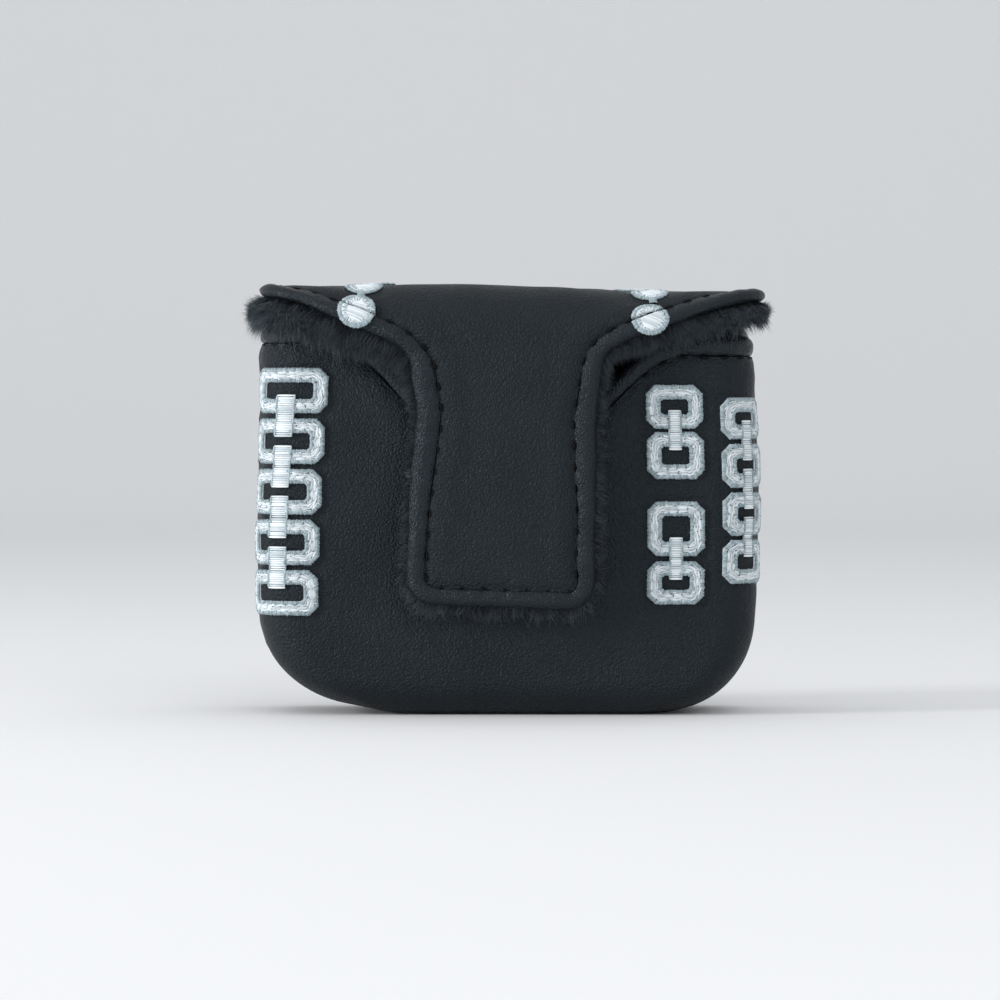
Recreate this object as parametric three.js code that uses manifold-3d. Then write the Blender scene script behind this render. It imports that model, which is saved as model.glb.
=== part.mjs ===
// A putter head cover: a padded pouch, lined with fur, whose back panel runs up and over the
// mouth as a flap and comes down the front as a tongue held by magnets.
// Millimetres, +Z up. The tongue faces -Y and the cover stands on its closed end.
import * as THREE from "three";
import Module from "manifold-3d";
import { mergeVertices } from "three/addons/utils/BufferGeometryUtils.js";

// Pouch
const POUCH_HALF_WIDTH = 63.8;
const POUCH_HALF_DEPTH = 23;
const SIDE_BULGE = 1.3; // how far the sides belly out at mid height
const BASE_ROLL = 9; // radius from the base into the front and the back
const CORNER_LEFT = 32; // radius of the lower corners, seen from the front
const CORNER_RIGHT = 24;
const PLAN_CORNER = 11; // radius of the upright corners, seen from above
const SEAM_GAP = 0.7; // between the front and back panels, half on each side

// Mouth of the pouch
const MOUTH_Z = 98.3; // top of the binding at the sides
const SCOOP_DEPTH = 32; // how far the mouth dips behind the tongue
const SCOOP_HALF_WIDTH = 47;

// Flap, in developed coordinates: x across, s along it, 0 where the front roll starts
const ROLL = 14; // radius of both rolls, at the outer face
const ROLL_Z = 97.5; // height of the centres of the rolls
const TONGUE_FACE = 31.9; // distance of the tongue's outer face from the pouch's mid plane
const FLAP_HALF_WIDTH = 65.5;
const TONGUE_END = 91; // s at the tip
const TONGUE_LEAN = 0.035; // the tongue leans this much to the left
const LEAN_FROM = 38; // s below which it leans

// Layers, as depths below the outer face
const LEATHER = [0, 1.2];
const POUCH_PADDING = [1.5, 4];
const POUCH_LINING = [4.3, 7.8];
const FLAP_PADDING = [1.5, 3.5];
const FLAP_LINING = [3.8, 6.8];

// Trim
const BINDING_WIDTH = 4.9;
const TRIM_GAP = 0.35;
const BINDING_GAP = 0.5;
const THREAD_RADIUS = 0.25;
const MAGNET_RADIUS = 6;
const MAGNET_X = 9.5;
const MAGNET_Z = 42;
const BEAD_RADIUS = 4.95;
const BEAD_PITCH = 11.5;
const MOTIF_STROKE = 3.6;

// Folds
const BACK_FOLD_ANGLE = Math.PI / 4; // from the end of the flat top, round the back roll
const FRONT_FOLD_S = 8.55;
const FOLD_GAP = 0.25; // on each side of a fold

// Worked out from the above
const FRONT_FLAT = POUCH_HALF_WIDTH - PLAN_CORNER;
const CORNER_ARC = (PLAN_CORNER * Math.PI) / 2;
const SIDE_FLAT = 2 * (POUCH_HALF_DEPTH - PLAN_CORNER);
const SEAM_U = FRONT_FLAT + CORNER_ARC + SIDE_FLAT / 2;
const BACK_CORNER_U = SEAM_U + SIDE_FLAT / 2;
const BACK_FLAT_U = BACK_CORNER_U + CORNER_ARC;
const ROLL_LENGTH = (ROLL * Math.PI) / 2;
const BACK_ROLL_Y = POUCH_HALF_DEPTH - ROLL;
const FRONT_ROLL_Y = -(TONGUE_FACE - ROLL);
const TOP_FLAT = BACK_ROLL_Y - FRONT_ROLL_Y;
const BACK_FOLD_S = -TOP_FLAT - ROLL * BACK_FOLD_ANGLE;
const LEATHER_INSET = BINDING_WIDTH + BINDING_GAP;
const MOUTH_LEATHER_Z = MOUTH_Z - LEATHER_INSET;

const wasm = await Module();
wasm.setup();

const clamp = THREE.MathUtils.clamp;
const lerp = THREE.MathUtils.lerp;

// ---- Solids from points ----

// A closed geometry from points and faces, with coinciding points merged, empty triangles
// dropped and its faces turned outwards.
function closedGeometry(points, triangles) {
  const loose = new THREE.BufferGeometry().setFromPoints(points);
  loose.setIndex(triangles.flat());
  const merged = mergeVertices(loose, 1e-4);
  const old = merged.index.array;
  const kept = [];
  for (let i = 0; i < old.length; i += 3) {
    const [a, b, c] = [old[i], old[i + 1], old[i + 2]];
    if (a !== b && b !== c && c !== a) kept.push([a, b, c]);
  }
  const at = (i) => new THREE.Vector3().fromBufferAttribute(merged.attributes.position, i);
  const volume = kept.reduce((sum, [a, b, c]) => sum + at(a).dot(at(b).cross(at(c))), 0);
  merged.setIndex(kept.flatMap(([a, b, c]) => (volume < 0 ? [a, c, b] : [a, b, c])));
  merged.computeVertexNormals();
  return merged;
}

// A slab from two matching grids of points, grid[row][column], joined round their borders.
function slab(outer, inner) {
  const rows = outer.length;
  const columns = outer[0].length;
  const points = [...outer.flat(), ...inner.flat()];
  const below = rows * columns;
  const at = (r, c) => r * columns + c;
  const triangles = [];
  const quad = (a, b, c, d) => triangles.push([a, b, c], [a, c, d]);
  for (let r = 0; r + 1 < rows; r++) {
    for (let c = 0; c + 1 < columns; c++) {
      let [p, q, v, w] = [at(r, c), at(r, c + 1), at(r + 1, c + 1), at(r + 1, c)];
      const along = points[p].distanceTo(points[v]);
      if (points[q].distanceTo(points[w]) < along) [p, q, v, w] = [q, v, w, p];
      quad(p, q, v, w); // split along its shorter diagonal, on both faces alike
      quad(p + below, w + below, v + below, q + below);
    }
  }
  const border = [];
  for (let c = 0; c + 1 < columns; c++) border.push([at(0, c + 1), at(0, c)]);
  for (let r = 0; r + 1 < rows; r++) border.push([at(r, 0), at(r + 1, 0)]);
  for (let c = 0; c + 1 < columns; c++) border.push([at(rows - 1, c), at(rows - 1, c + 1)]);
  for (let r = 0; r + 1 < rows; r++) border.push([at(r + 1, columns - 1), at(r, columns - 1)]);
  border.forEach(([a, b]) => quad(a, b, b + below, a + below));
  return closedGeometry(points, triangles);
}

// A solid through a row of rings of points. It is capped at both ends, or closes on itself.
function ringLoft(rings, closesOnItself = false) {
  const count = rings[0].length;
  const triangles = [];
  const last = closesOnItself ? rings.length : rings.length - 1;
  for (let r = 0; r < last; r++) {
    const next = ((r + 1) % rings.length) * count;
    for (let i = 0; i < count; i++) {
      const j = (i + 1) % count;
      triangles.push([r * count + i, r * count + j, next + j]);
      triangles.push([r * count + i, next + j, next + i]);
    }
  }
  if (!closesOnItself) {
    const end = (rings.length - 1) * count;
    for (let i = 1; i + 1 < count; i++) {
      triangles.push([0, i + 1, i]);
      triangles.push([end, end + i, end + i + 1]);
    }
  }
  return closedGeometry(rings.flat(), triangles);
}

function manifoldOf(geometry) {
  const bare = geometry.clone();
  bare.deleteAttribute("normal");
  if (bare.attributes.uv) bare.deleteAttribute("uv");
  const merged = mergeVertices(bare, 1e-4);
  return new wasm.Manifold(
    new wasm.Mesh({
      numProp: 3,
      vertProperties: new Float32Array(merged.attributes.position.array),
      triVerts: new Uint32Array(merged.index.array),
    }),
  );
}

function geometryOf(manifold) {
  const mesh = manifold.getMesh();
  const geometry = new THREE.BufferGeometry();
  geometry.setAttribute("position", new THREE.BufferAttribute(mesh.vertProperties, 3));
  geometry.setIndex(new THREE.BufferAttribute(mesh.triVerts, 1));
  geometry.computeVertexNormals();
  return geometry;
}

// ---- The pouch's surface ----

// Half the pouch's width at height z, d below the outer face, with lower corner radius R.
function halfWidth(z, d, R) {
  const reach = POUCH_HALF_WIDTH + SIDE_BULGE * Math.sin(Math.PI * clamp(z / MOUTH_Z, 0, 1));
  if (z >= R) return reach - d;
  return reach - R + Math.sqrt(Math.max(0, (R - d) ** 2 - (R - z) ** 2));
}

function frontDepth(z, d) {
  if (z >= BASE_ROLL) return POUCH_HALF_DEPTH - d;
  const run = Math.max(0, (BASE_ROLL - d) ** 2 - (BASE_ROLL - z) ** 2);
  return POUCH_HALF_DEPTH - BASE_ROLL + Math.sqrt(run);
}

function backDepth(z, d) {
  if (z <= ROLL_Z) return frontDepth(z, d);
  return BACK_ROLL_Y + Math.sqrt(Math.max(0, (ROLL - d) ** 2 - (z - ROLL_Z) ** 2));
}

// A point of the pouch: u runs round it from the middle of the front, positive to the right.
function pouchPoint(u, z, d) {
  const side = Math.sign(u) || 1;
  const along = Math.abs(u);
  const width = halfWidth(z, d, u < 0 ? CORNER_LEFT : CORNER_RIGHT);
  const front = frontDepth(z, d);
  const back = backDepth(z, d);
  const opened = clamp((z - ROLL_Z) / ROLL, 0, 1); // the corners flatten into the flap
  const r = Math.max(0.4, PLAN_CORNER * (1 - 0.7 * opened) - d);
  let x;
  let y;
  if (along < FRONT_FLAT) {
    x = (along / FRONT_FLAT) * (width - r);
    y = -front;
  } else if (along < FRONT_FLAT + CORNER_ARC) {
    const turn = ((along - FRONT_FLAT) / CORNER_ARC) * (Math.PI / 2);
    x = width - r + r * Math.sin(turn);
    y = -(front - r) - r * Math.cos(turn);
  } else if (along < BACK_CORNER_U) {
    const share = (along - FRONT_FLAT - CORNER_ARC) / SIDE_FLAT;
    x = width;
    y = lerp(-(front - r), back - r, share);
  } else if (along < BACK_FLAT_U) {
    const turn = ((along - BACK_CORNER_U) / CORNER_ARC) * (Math.PI / 2);
    x = width - r + r * Math.cos(turn);
    y = back - r + r * Math.sin(turn);
  } else {
    x = (1 - (along - BACK_FLAT_U) / FRONT_FLAT) * (width - r);
    y = back;
  }
  return new THREE.Vector3(side * x, y, z);
}

// Height of the leather's edge round the mouth. It scoops down at the front, and at the back
// corners it climbs to the flap's fold.
const CLIMB_FROM = SEAM_U + 4;
const CLIMB_TO = BACK_FLAT_U - 1.5;

function foldHeight(d) {
  const angle = Math.PI / 2 - BACK_FOLD_ANGLE - FOLD_GAP / ROLL;
  return ROLL_Z + (ROLL - d) * Math.sin(angle);
}

function leatherTop(u, d) {
  const along = Math.abs(u);
  if (along < SCOOP_HALF_WIDTH) {
    const wave = (Math.PI * along) / SCOOP_HALF_WIDTH;
    const dip = (SCOOP_DEPTH * (1 + Math.cos(wave))) / 2;
    const slope = ((SCOOP_DEPTH * Math.PI) / (2 * SCOOP_HALF_WIDTH)) * Math.sin(wave);
    return MOUTH_Z - dip - LEATHER_INSET * Math.hypot(1, slope);
  }
  const climbed = clamp((along - CLIMB_FROM) / (CLIMB_TO - CLIMB_FROM), 0, 1);
  return lerp(MOUTH_LEATHER_Z, foldHeight(d), climbed ** 2);
}

// Stations round the corner arcs, each side of the pouch.
const arcStations = (from) => [0, 1 / 3, 2 / 3, 1].map((t) => from + t * CORNER_ARC);
const SCOOP_STATIONS = [8, 16, 24, 32, 40, SCOOP_HALF_WIDTH];
const FRONT_HALF_STATIONS = [
  ...SCOOP_STATIONS,
  ...arcStations(FRONT_FLAT),
  SEAM_U - SEAM_GAP / 2,
];
const BACK_HALF_STATIONS = [
  SEAM_U + SEAM_GAP / 2,
  CLIMB_FROM,
  ...arcStations(BACK_CORNER_U),
  BACK_FLAT_U + 14,
];
const MID_Z = 45;

// Heights of the rows from the base to MID_Z, for a face d below the outer one.
function lowerRows(d) {
  const roll = [0, Math.PI / 4, Math.PI / 2].map((a) => BASE_ROLL - (BASE_ROLL - d) * Math.cos(a));
  return [...roll, 13, 20, 30, MID_Z];
}

// One face of a front or back layer: a grid from the seam under the base up to the mouth.
function pouchFace(stations, upperShares, seamY, d) {
  const base = stations.map((u) => {
    const p = pouchPoint(u, d, d);
    return new THREE.Vector3(p.x, seamY, d);
  });
  const lower = lowerRows(d).map((z) => stations.map((u) => pouchPoint(u, z, d)));
  const upper = upperShares.map((share) =>
    stations.map((u) => pouchPoint(u, lerp(MID_Z, leatherTop(u, d), share), d)),
  );
  return [base, ...lower, ...upper];
}

function frontLayer([from, to]) {
  const half = FRONT_HALF_STATIONS;
  const stations = [...half.map((u) => -u).reverse(), 0, ...half];
  const face = (d) => pouchFace(stations, [1 / 3, 2 / 3, 1], -SEAM_GAP / 2, d);
  return slab(face(from), face(to));
}

function backLayer([from, to]) {
  const half = BACK_HALF_STATIONS;
  const stations = [...half, ...half.map((u) => -u).reverse()];
  const face = (d) => {
    const top = foldHeight(d);
    const heights = [72, ROLL_Z, ROLL_Z + (top - ROLL_Z) * 0.55, top];
    const shares = heights.map((z) => (z - MID_Z) / (top - MID_Z));
    return pouchFace(stations, shares, SEAM_GAP / 2, d);
  };
  return slab(face(from), face(to));
}

// ---- The flap's surface ----

function flapPoint(x, s, d) {
  const lean = TONGUE_LEAN * Math.max(0, s - LEAN_FROM);
  const along = s + TONGUE_LEAN * x * clamp((s - LEAN_FROM) / 20, 0, 1);
  const r = ROLL - d;
  let y;
  let z;
  if (along > ROLL_LENGTH) {
    y = -(TONGUE_FACE - d);
    z = ROLL_Z - (along - ROLL_LENGTH);
  } else if (along > 0) {
    y = FRONT_ROLL_Y - r * Math.sin(along / ROLL);
    z = ROLL_Z + r * Math.cos(along / ROLL);
  } else if (along > -TOP_FLAT) {
    y = FRONT_ROLL_Y - along;
    z = ROLL_Z + r;
  } else {
    const turn = (-TOP_FLAT - along) / ROLL;
    y = BACK_ROLL_Y + r * Math.sin(turn);
    z = ROLL_Z + r * Math.cos(turn);
  }
  return new THREE.Vector3(x - lean, y, z);
}

// Right-hand edge of the flap's leather, as (x, s): along the top, down the shoulder, round the
// neck, down the tongue and round its corner.
const SIDE_X = FLAP_HALF_WIDTH - LEATHER_INSET;
const TIP_S = TONGUE_END - LEATHER_INSET;
const TIP_CORNER = 2.6;
const NECK = new THREE.Vector2(20.1, 29.4);
const WAIST = new THREE.Vector2(18.4, 42);
const TIP_HALF_WIDTH = 19.6;

function topEdge() {
  const rows = [BACK_FOLD_S + FOLD_GAP, BACK_FOLD_S + 5.7, -TOP_FLAT, -TOP_FLAT / 2, -2.5];
  const side = rows.map((s) => new THREE.Vector2(SIDE_X, s));
  const corner = new THREE.QuadraticBezierCurve(
    new THREE.Vector2(SIDE_X, -2.5),
    new THREE.Vector2(SIDE_X, 1.5),
    new THREE.Vector2(SIDE_X - 3.4, 3.4),
  );
  return [...side, ...corner.getPoints(3).slice(1), shoulderAt(FRONT_FOLD_S - FOLD_GAP)];
}

// The shoulder is straight from the front corner to SHOULDER_END.
const SHOULDER_START = new THREE.Vector2(SIDE_X - 3.4, 3.4);
const SHOULDER_END = new THREE.Vector2(41.3, 12.3);

function shoulderAt(s) {
  const share = (s - SHOULDER_START.y) / (SHOULDER_END.y - SHOULDER_START.y);
  return new THREE.Vector2(lerp(SHOULDER_START.x, SHOULDER_END.x, share), s);
}

function tongueEdge() {
  const neck = new THREE.CubicBezierCurve(
    SHOULDER_END,
    new THREE.Vector2(30, 17.8),
    new THREE.Vector2(21.4, 19.5),
    NECK,
  );
  const points = [shoulderAt(FRONT_FOLD_S + FOLD_GAP), ...neck.getPoints(6), WAIST];
  points.push(new THREE.Vector2(lerp(WAIST.x, TIP_HALF_WIDTH, 0.5), 63));
  const cornerX = TIP_HALF_WIDTH - TIP_CORNER;
  const cornerS = TIP_S - TIP_CORNER;
  for (const turn of [0, Math.PI / 6, Math.PI / 3, Math.PI / 2]) {
    const x = cornerX + TIP_CORNER * Math.cos(turn);
    points.push(new THREE.Vector2(x, cornerS + TIP_CORNER * Math.sin(turn)));
  }
  return points;
}

// A flap layer: its rows end on the edge, and have the given number of columns.
function flapLayer(edge, columns, [from, to]) {
  const face = (d) =>
    edge.map(({ x, y: s }) =>
      Array.from({ length: columns + 1 }, (_, i) => flapPoint(x * ((2 * i) / columns - 1), s, d)),
    );
  return slab(face(from), face(to));
}

// ---- Trim that follows an edge ----

// Frames along an edge: place(p, d) gives the point at depth d, and "out" points off the edge.
// An end that meets a fold is cut along the fold, which lies along X.
function framesAlong(edge, place, cutAlongX) {
  return edge.map((p, i) => {
    const before = place(edge[Math.max(0, i - 1)], 0);
    const after = place(edge[Math.min(edge.length - 1, i + 1)], 0);
    const along = after.sub(before).normalize();
    const normal = place(p, -1).sub(place(p, 1)).normalize();
    const out = new THREE.Vector3().crossVectors(normal, along).normalize();
    const isEnd = i === 0 || i === edge.length - 1;
    if (isEnd && cutAlongX) {
      const x = new THREE.Vector3(Math.sign(out.x), 0, 0);
      out.copy(x.divideScalar(Math.max(0.5, Math.abs(out.x))));
    }
    return { p, normal, out };
  });
}

// A rounded strip along an edge, its middle "offset" off the edge and "depth" below the face.
function strip(edge, place, { offset, depth, halfWide, halfDeep, sides, cutAlongX = true }) {
  const rings = framesAlong(edge, place, cutAlongX).map(({ p, normal, out }) => {
    const middle = place(p, depth).addScaledVector(out, offset);
    return Array.from({ length: sides }, (_, i) => {
      const turn = (2 * Math.PI * (i + 0.5)) / sides;
      const across = Math.sign(Math.cos(turn)) * Math.abs(Math.cos(turn)) ** 0.7;
      const up = Math.sign(Math.sin(turn)) * Math.abs(Math.sin(turn)) ** 0.7;
      return middle
        .clone()
        .addScaledVector(out, halfWide * across)
        .addScaledVector(normal, halfDeep * up);
    });
  });
  return ringLoft(rings);
}

const BINDING = {
  offset: BINDING_GAP + BINDING_WIDTH / 2,
  halfWide: BINDING_WIDTH / 2 / Math.cos(Math.PI / 8) ** 0.7,
  sides: 8,
};
const MOUTH_BINDING = { ...BINDING, depth: 3.9, halfDeep: 4.1, cutAlongX: false };
const FLAP_BINDING = { ...BINDING, depth: 3.4, halfDeep: 4.2 };
const TOPSTITCH = {
  offset: -1.1,
  depth: -TRIM_GAP - THREAD_RADIUS,
  halfWide: THREAD_RADIUS,
  halfDeep: THREAD_RADIUS,
  sides: 4,
};

// The mouth's edge from the fold at the left, round the front, to the fold at the right.
function mouthEdge() {
  const side = [...arcStations(FRONT_FLAT), SEAM_U, CLIMB_FROM, ...arcStations(BACK_CORNER_U)];
  const right = [0, ...SCOOP_STATIONS, ...side.slice(0, -1), CLIMB_TO];
  const left = right.slice(1).map((u) => -u);
  return [...left.reverse(), ...right];
}

const mouthPlace = (u, d) => pouchPoint(u, leatherTop(u, d), d);
const flapPlace = (p, d) => flapPoint(p.x, p.y, d);
const mirrored = (edge) => edge.map((p) => new THREE.Vector2(-p.x, p.y)).reverse();

// Cuts a strip of the pouch off at the back fold.
function endedAtBackFold(geometry) {
  const size = 60;
  const clearOfSides = 4; // the cut starts this far out from the middle of the roll
  const beyond = new THREE.BoxGeometry(2 * size + 20, size, size);
  beyond.translate(0, size / 2 + clearOfSides, size / 2 - FOLD_GAP);
  beyond.rotateX(BACK_FOLD_ANGLE).translate(0, BACK_ROLL_Y, ROLL_Z);
  return geometryOf(manifoldOf(geometry).subtract(manifoldOf(beyond)));
}

// ---- Embroidery ----

// A chamfered rectangle of 12 points, with extra ones along its long edges so that it bends.
function linkLoop(wide, tall, chamfer) {
  const w = wide / 2;
  const h = tall / 2;
  const upper = [
    new THREE.Vector2(w, h - chamfer),
    new THREE.Vector2(w - chamfer, h),
    new THREE.Vector2((w - chamfer) / 3, h),
    new THREE.Vector2((chamfer - w) / 3, h),
    new THREE.Vector2(chamfer - w, h),
    new THREE.Vector2(-w, h - chamfer),
  ];
  return [...upper, ...upper.map((p) => new THREE.Vector2(-p.x, -p.y))];
}

// A flat link of thread with a slot in it, laid on the pouch with its middle at (u, z).
function link({ u, z, wide, tall }) {
  const outside = linkLoop(wide, tall, 2.2);
  const slot = linkLoop(wide - 2 * MOTIF_STROKE, tall - 2 * MOTIF_STROKE, 0.6);
  const lay = (p, d) => pouchPoint(u + p.x, z + p.y, d);
  const [low, high] = [-0.45, -1.2];
  const rings = outside.map((p, i) => [
    lay(p, low),
    lay(p, high),
    lay(slot[i], high),
    lay(slot[i], low),
  ]);
  return ringLoft(rings, true);
}

// The short bar that ties a link to the one below it, from slot to slot.
function tie(upper, lower) {
  const reach = MOTIF_STROKE + 1.1;
  const top = upper.z - upper.tall / 2 + reach;
  const end = lower.z + lower.tall / 2 - reach;
  const half = upper.wide / 9;
  const face = (d) =>
    [0, 0.5, 1].map((t) =>
      [-half, half].map((x) => pouchPoint(lerp(upper.u, lower.u, t) + x, lerp(top, end, t), d)),
    );
  return slab(face(-1.4), face(-0.6));
}

// A column of links, each tied to the next, as one piece of embroidery.
function chain(links) {
  let joined = manifoldOf(link(links[0]));
  links.slice(1).forEach((lower, i) => {
    joined = joined.add(manifoldOf(link(lower))).add(manifoldOf(tie(links[i], lower)));
  });
  return geometryOf(joined);
}

// A domed disc of thread on the flap, d above its face at the rim.
function bead(x, s, d) {
  const height = 0.8;
  const around = 12;
  const ring = (radius, depth) =>
    Array.from({ length: around }, (_, i) => {
      const turn = (2 * Math.PI * i) / around;
      return flapPoint(x + radius * Math.cos(turn), s + radius * Math.sin(turn), depth);
    });
  const rings = [
    ring(BEAD_RADIUS * 0.05, -d),
    ring(BEAD_RADIUS, -d),
    ring(BEAD_RADIUS * 0.95, -d - height / 2),
    ring(BEAD_RADIUS * 0.5, -d - height),
    ring(BEAD_RADIUS * 0.05, -d - height),
  ];
  return ringLoft(rings);
}

// A run of beads joined by links, one solid that follows the flap over the top.
const CHAIN_X = 38.4;
const CHAIN_DRAW_IN = 0.12; // the chains close in towards the back
const FRONT_BEAD_S = 14.3;
const TOP_BEADS = 4;

function beadChain(side) {
  const centres = Array.from({ length: TOP_BEADS }, (_, i) => FRONT_BEAD_S - (i + 1) * BEAD_PITCH);
  const rows = [];
  for (const centre of centres) {
    for (const turn of [0.1, 0.3, 0.5, 0.7, 0.9]) {
      const s = centre + BEAD_RADIUS * Math.cos(Math.PI * turn);
      rows.push([s, BEAD_RADIUS * Math.sin(Math.PI * turn)]);
    }
    if (centre !== centres.at(-1)) rows.push([centre - BEAD_PITCH / 2, 1]);
  }
  const face = (d) =>
    rows.map(([s, half]) => {
      const x = side * (CHAIN_X - CHAIN_DRAW_IN * (FRONT_BEAD_S - s));
      return [-1, 0, 1].map((t) => flapPoint(x + t * half, s, d));
    });
  return slab(face(-TRIM_GAP - 0.8), face(-TRIM_GAP));
}

// ---- Magnets ----

// A disc whose axis lies along Y, between two depths measured from a face at y = -faceY.
function disc(x, faceY, [from, to], radius) {
  const shape = new THREE.CylinderGeometry(radius, radius, to - from, 16);
  return shape.translate(x, (from + to) / 2 - faceY, MAGNET_Z);
}

const MAGNET_SHIFT = -TONGUE_LEAN * (ROLL_Z + ROLL_LENGTH - MAGNET_Z - LEAN_FROM);
const magnetX = (side) => side * MAGNET_X + MAGNET_SHIFT;

// A padding layer with a hole for each magnet.
function withMagnetHoles(geometry, faceY) {
  let padding = manifoldOf(geometry);
  for (const side of [-1, 1]) {
    const hole = disc(magnetX(side), faceY, [0, 8], MAGNET_RADIUS + TRIM_GAP);
    padding = padding.subtract(manifoldOf(hole));
  }
  return geometryOf(padding);
}

// ---- The assembly ----

const material = (color, roughness, metalness = 0) =>
  new THREE.MeshStandardMaterial({ color, roughness, metalness });
const leather = material(0x2b3035, 0.62);
const bindingLeather = material(0x32383d, 0.55);
const foam = material(0x4a4f55, 0.95);
const fur = material(0x23282f, 0.98);
const blackThread = material(0x0c0e10, 0.7);
const whiteThread = material(0xd2dbe1, 0.6);
const magnetMetal = material(0xb5b8ba, 0.3, 1);

const cover = new THREE.Group();
const flapTop = new THREE.Group();
const tongue = new THREE.Group();
const whole = new THREE.Group();
whole.add(cover, flapTop, tongue);

function add(group, name, geometry, finish) {
  const mesh = new THREE.Mesh(geometry, finish);
  mesh.name = name;
  group.add(mesh);
}

// Pouch
add(cover, "front_panel", frontLayer(LEATHER), leather);
add(cover, "back_panel", backLayer(LEATHER), leather);
add(cover, "front_padding", withMagnetHoles(frontLayer(POUCH_PADDING), POUCH_HALF_DEPTH), foam);
add(cover, "back_padding", backLayer(POUCH_PADDING), foam);
add(cover, "front_lining", frontLayer(POUCH_LINING), fur);
add(cover, "back_lining", backLayer(POUCH_LINING), fur);
const mouthBinding = strip(mouthEdge(), mouthPlace, MOUTH_BINDING);
const mouthStitch = strip(mouthEdge(), mouthPlace, { ...TOPSTITCH, cutAlongX: false });
add(cover, "mouth_binding", endedAtBackFold(mouthBinding), bindingLeather);
add(cover, "mouth_topstitch", endedAtBackFold(mouthStitch), blackThread);

// Embroidered chains: a broad one at the left, narrower ones at the right
const LEFT_CHAIN = { u: -56.4, top: 84.2, pitch: 13.1, wide: 21, tall: 11.6, lean: 0.04 };
const leftLinks = Array.from({ length: 5 }, (_, i) => {
  const { u, top, pitch, wide, tall, lean } = LEFT_CHAIN;
  return { u: u - lean * pitch * i, z: top - pitch * i, wide, tall };
});
const rightLinks = (u, wide, rows) => rows.map(([z, tall]) => ({ u, z, wide, tall }));
const CHAINS = {
  left_chain: leftLinks,
  inner_chain_upper: rightLinks(42.8, 14.4, [[80, 11.2], [67.4, 12]]),
  inner_chain_lower: rightLinks(42.8, 14.4, [[48.4, 14], [34.4, 11]]),
  outer_chain: rightLinks(61.6, 14, [[77, 10.6], [64.7, 11.2], [52.2, 11], [39.8, 11.2]]),
};
for (const [name, links] of Object.entries(CHAINS)) add(cover, name, chain(links), whiteThread);

// Flap over the top
add(flapTop, "top_leather", flapLayer(topEdge(), 6, LEATHER), leather);
add(flapTop, "top_padding", flapLayer(topEdge(), 6, FLAP_PADDING), foam);
add(flapTop, "top_lining", flapLayer(topEdge(), 6, FLAP_LINING), fur);
add(flapTop, "top_binding_right", strip(topEdge(), flapPlace, FLAP_BINDING), bindingLeather);
add(flapTop, "top_binding_left", strip(mirrored(topEdge()), flapPlace, FLAP_BINDING), bindingLeather);
add(flapTop, "top_topstitch_right", strip(topEdge(), flapPlace, TOPSTITCH), blackThread);
add(flapTop, "top_topstitch_left", strip(mirrored(topEdge()), flapPlace, TOPSTITCH), blackThread);
add(flapTop, "bead_chain_right", beadChain(1), whiteThread);
add(flapTop, "bead_chain_left", beadChain(-1), whiteThread);

// Tongue, with the flap's shoulders
const tongueRound = [...tongueEdge(), ...mirrored(tongueEdge())];
const tonguePadding = flapLayer(tongueEdge(), 6, FLAP_PADDING);
add(tongue, "tongue_leather", flapLayer(tongueEdge(), 6, LEATHER), leather);
add(tongue, "tongue_padding", withMagnetHoles(tonguePadding, TONGUE_FACE), foam);
add(tongue, "tongue_lining", flapLayer(tongueEdge(), 6, FLAP_LINING), fur);
add(tongue, "tongue_binding", strip(tongueRound, flapPlace, FLAP_BINDING), bindingLeather);
add(tongue, "tongue_topstitch", strip(tongueRound, flapPlace, TOPSTITCH), blackThread);

for (const [name, side] of [["left", -1], ["right", 1]]) {
  const inPouch = disc(magnetX(side), POUCH_HALF_DEPTH, [1.9, 3.7], MAGNET_RADIUS);
  const inTongue = disc(magnetX(side), TONGUE_FACE, [1.7, 3.3], MAGNET_RADIUS);
  add(cover, `pouch_magnet_${name}`, inPouch, magnetMetal);
  add(tongue, `tongue_magnet_${name}`, inTongue, magnetMetal);
  add(tongue, `front_bead_${name}`, bead(side * CHAIN_X, FRONT_BEAD_S, 1.2), whiteThread);
}

// The origin is at the middle of the cover's box, on the surface that it stands on.
const box = new THREE.Box3().setFromObject(whole);
const middle = box.getCenter(new THREE.Vector3());
whole.position.set(-middle.x, -middle.y, -box.min.z);

export default whole;
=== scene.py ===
import math

import bmesh
import bpy
import numpy as np
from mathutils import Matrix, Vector, kdtree


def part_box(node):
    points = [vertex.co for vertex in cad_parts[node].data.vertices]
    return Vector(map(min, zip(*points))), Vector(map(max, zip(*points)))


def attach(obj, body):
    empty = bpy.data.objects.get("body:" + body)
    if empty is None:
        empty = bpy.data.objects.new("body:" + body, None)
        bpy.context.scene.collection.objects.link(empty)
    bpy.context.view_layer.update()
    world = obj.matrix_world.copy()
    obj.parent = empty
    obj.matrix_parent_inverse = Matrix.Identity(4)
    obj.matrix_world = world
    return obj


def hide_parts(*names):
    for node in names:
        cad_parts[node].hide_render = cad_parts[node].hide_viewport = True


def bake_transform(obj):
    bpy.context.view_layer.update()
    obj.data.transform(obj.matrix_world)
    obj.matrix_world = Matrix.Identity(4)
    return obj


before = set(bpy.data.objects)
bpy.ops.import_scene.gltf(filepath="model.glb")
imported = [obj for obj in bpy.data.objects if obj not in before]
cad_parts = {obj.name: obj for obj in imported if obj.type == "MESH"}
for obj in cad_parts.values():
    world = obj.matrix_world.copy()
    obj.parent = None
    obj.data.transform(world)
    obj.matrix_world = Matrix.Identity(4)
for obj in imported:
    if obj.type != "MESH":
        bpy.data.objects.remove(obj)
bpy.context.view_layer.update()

# Shapes are worked out in millimetres, in the pouch's own frame: its mid plane is y = 0.
MM = 0.001
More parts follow.
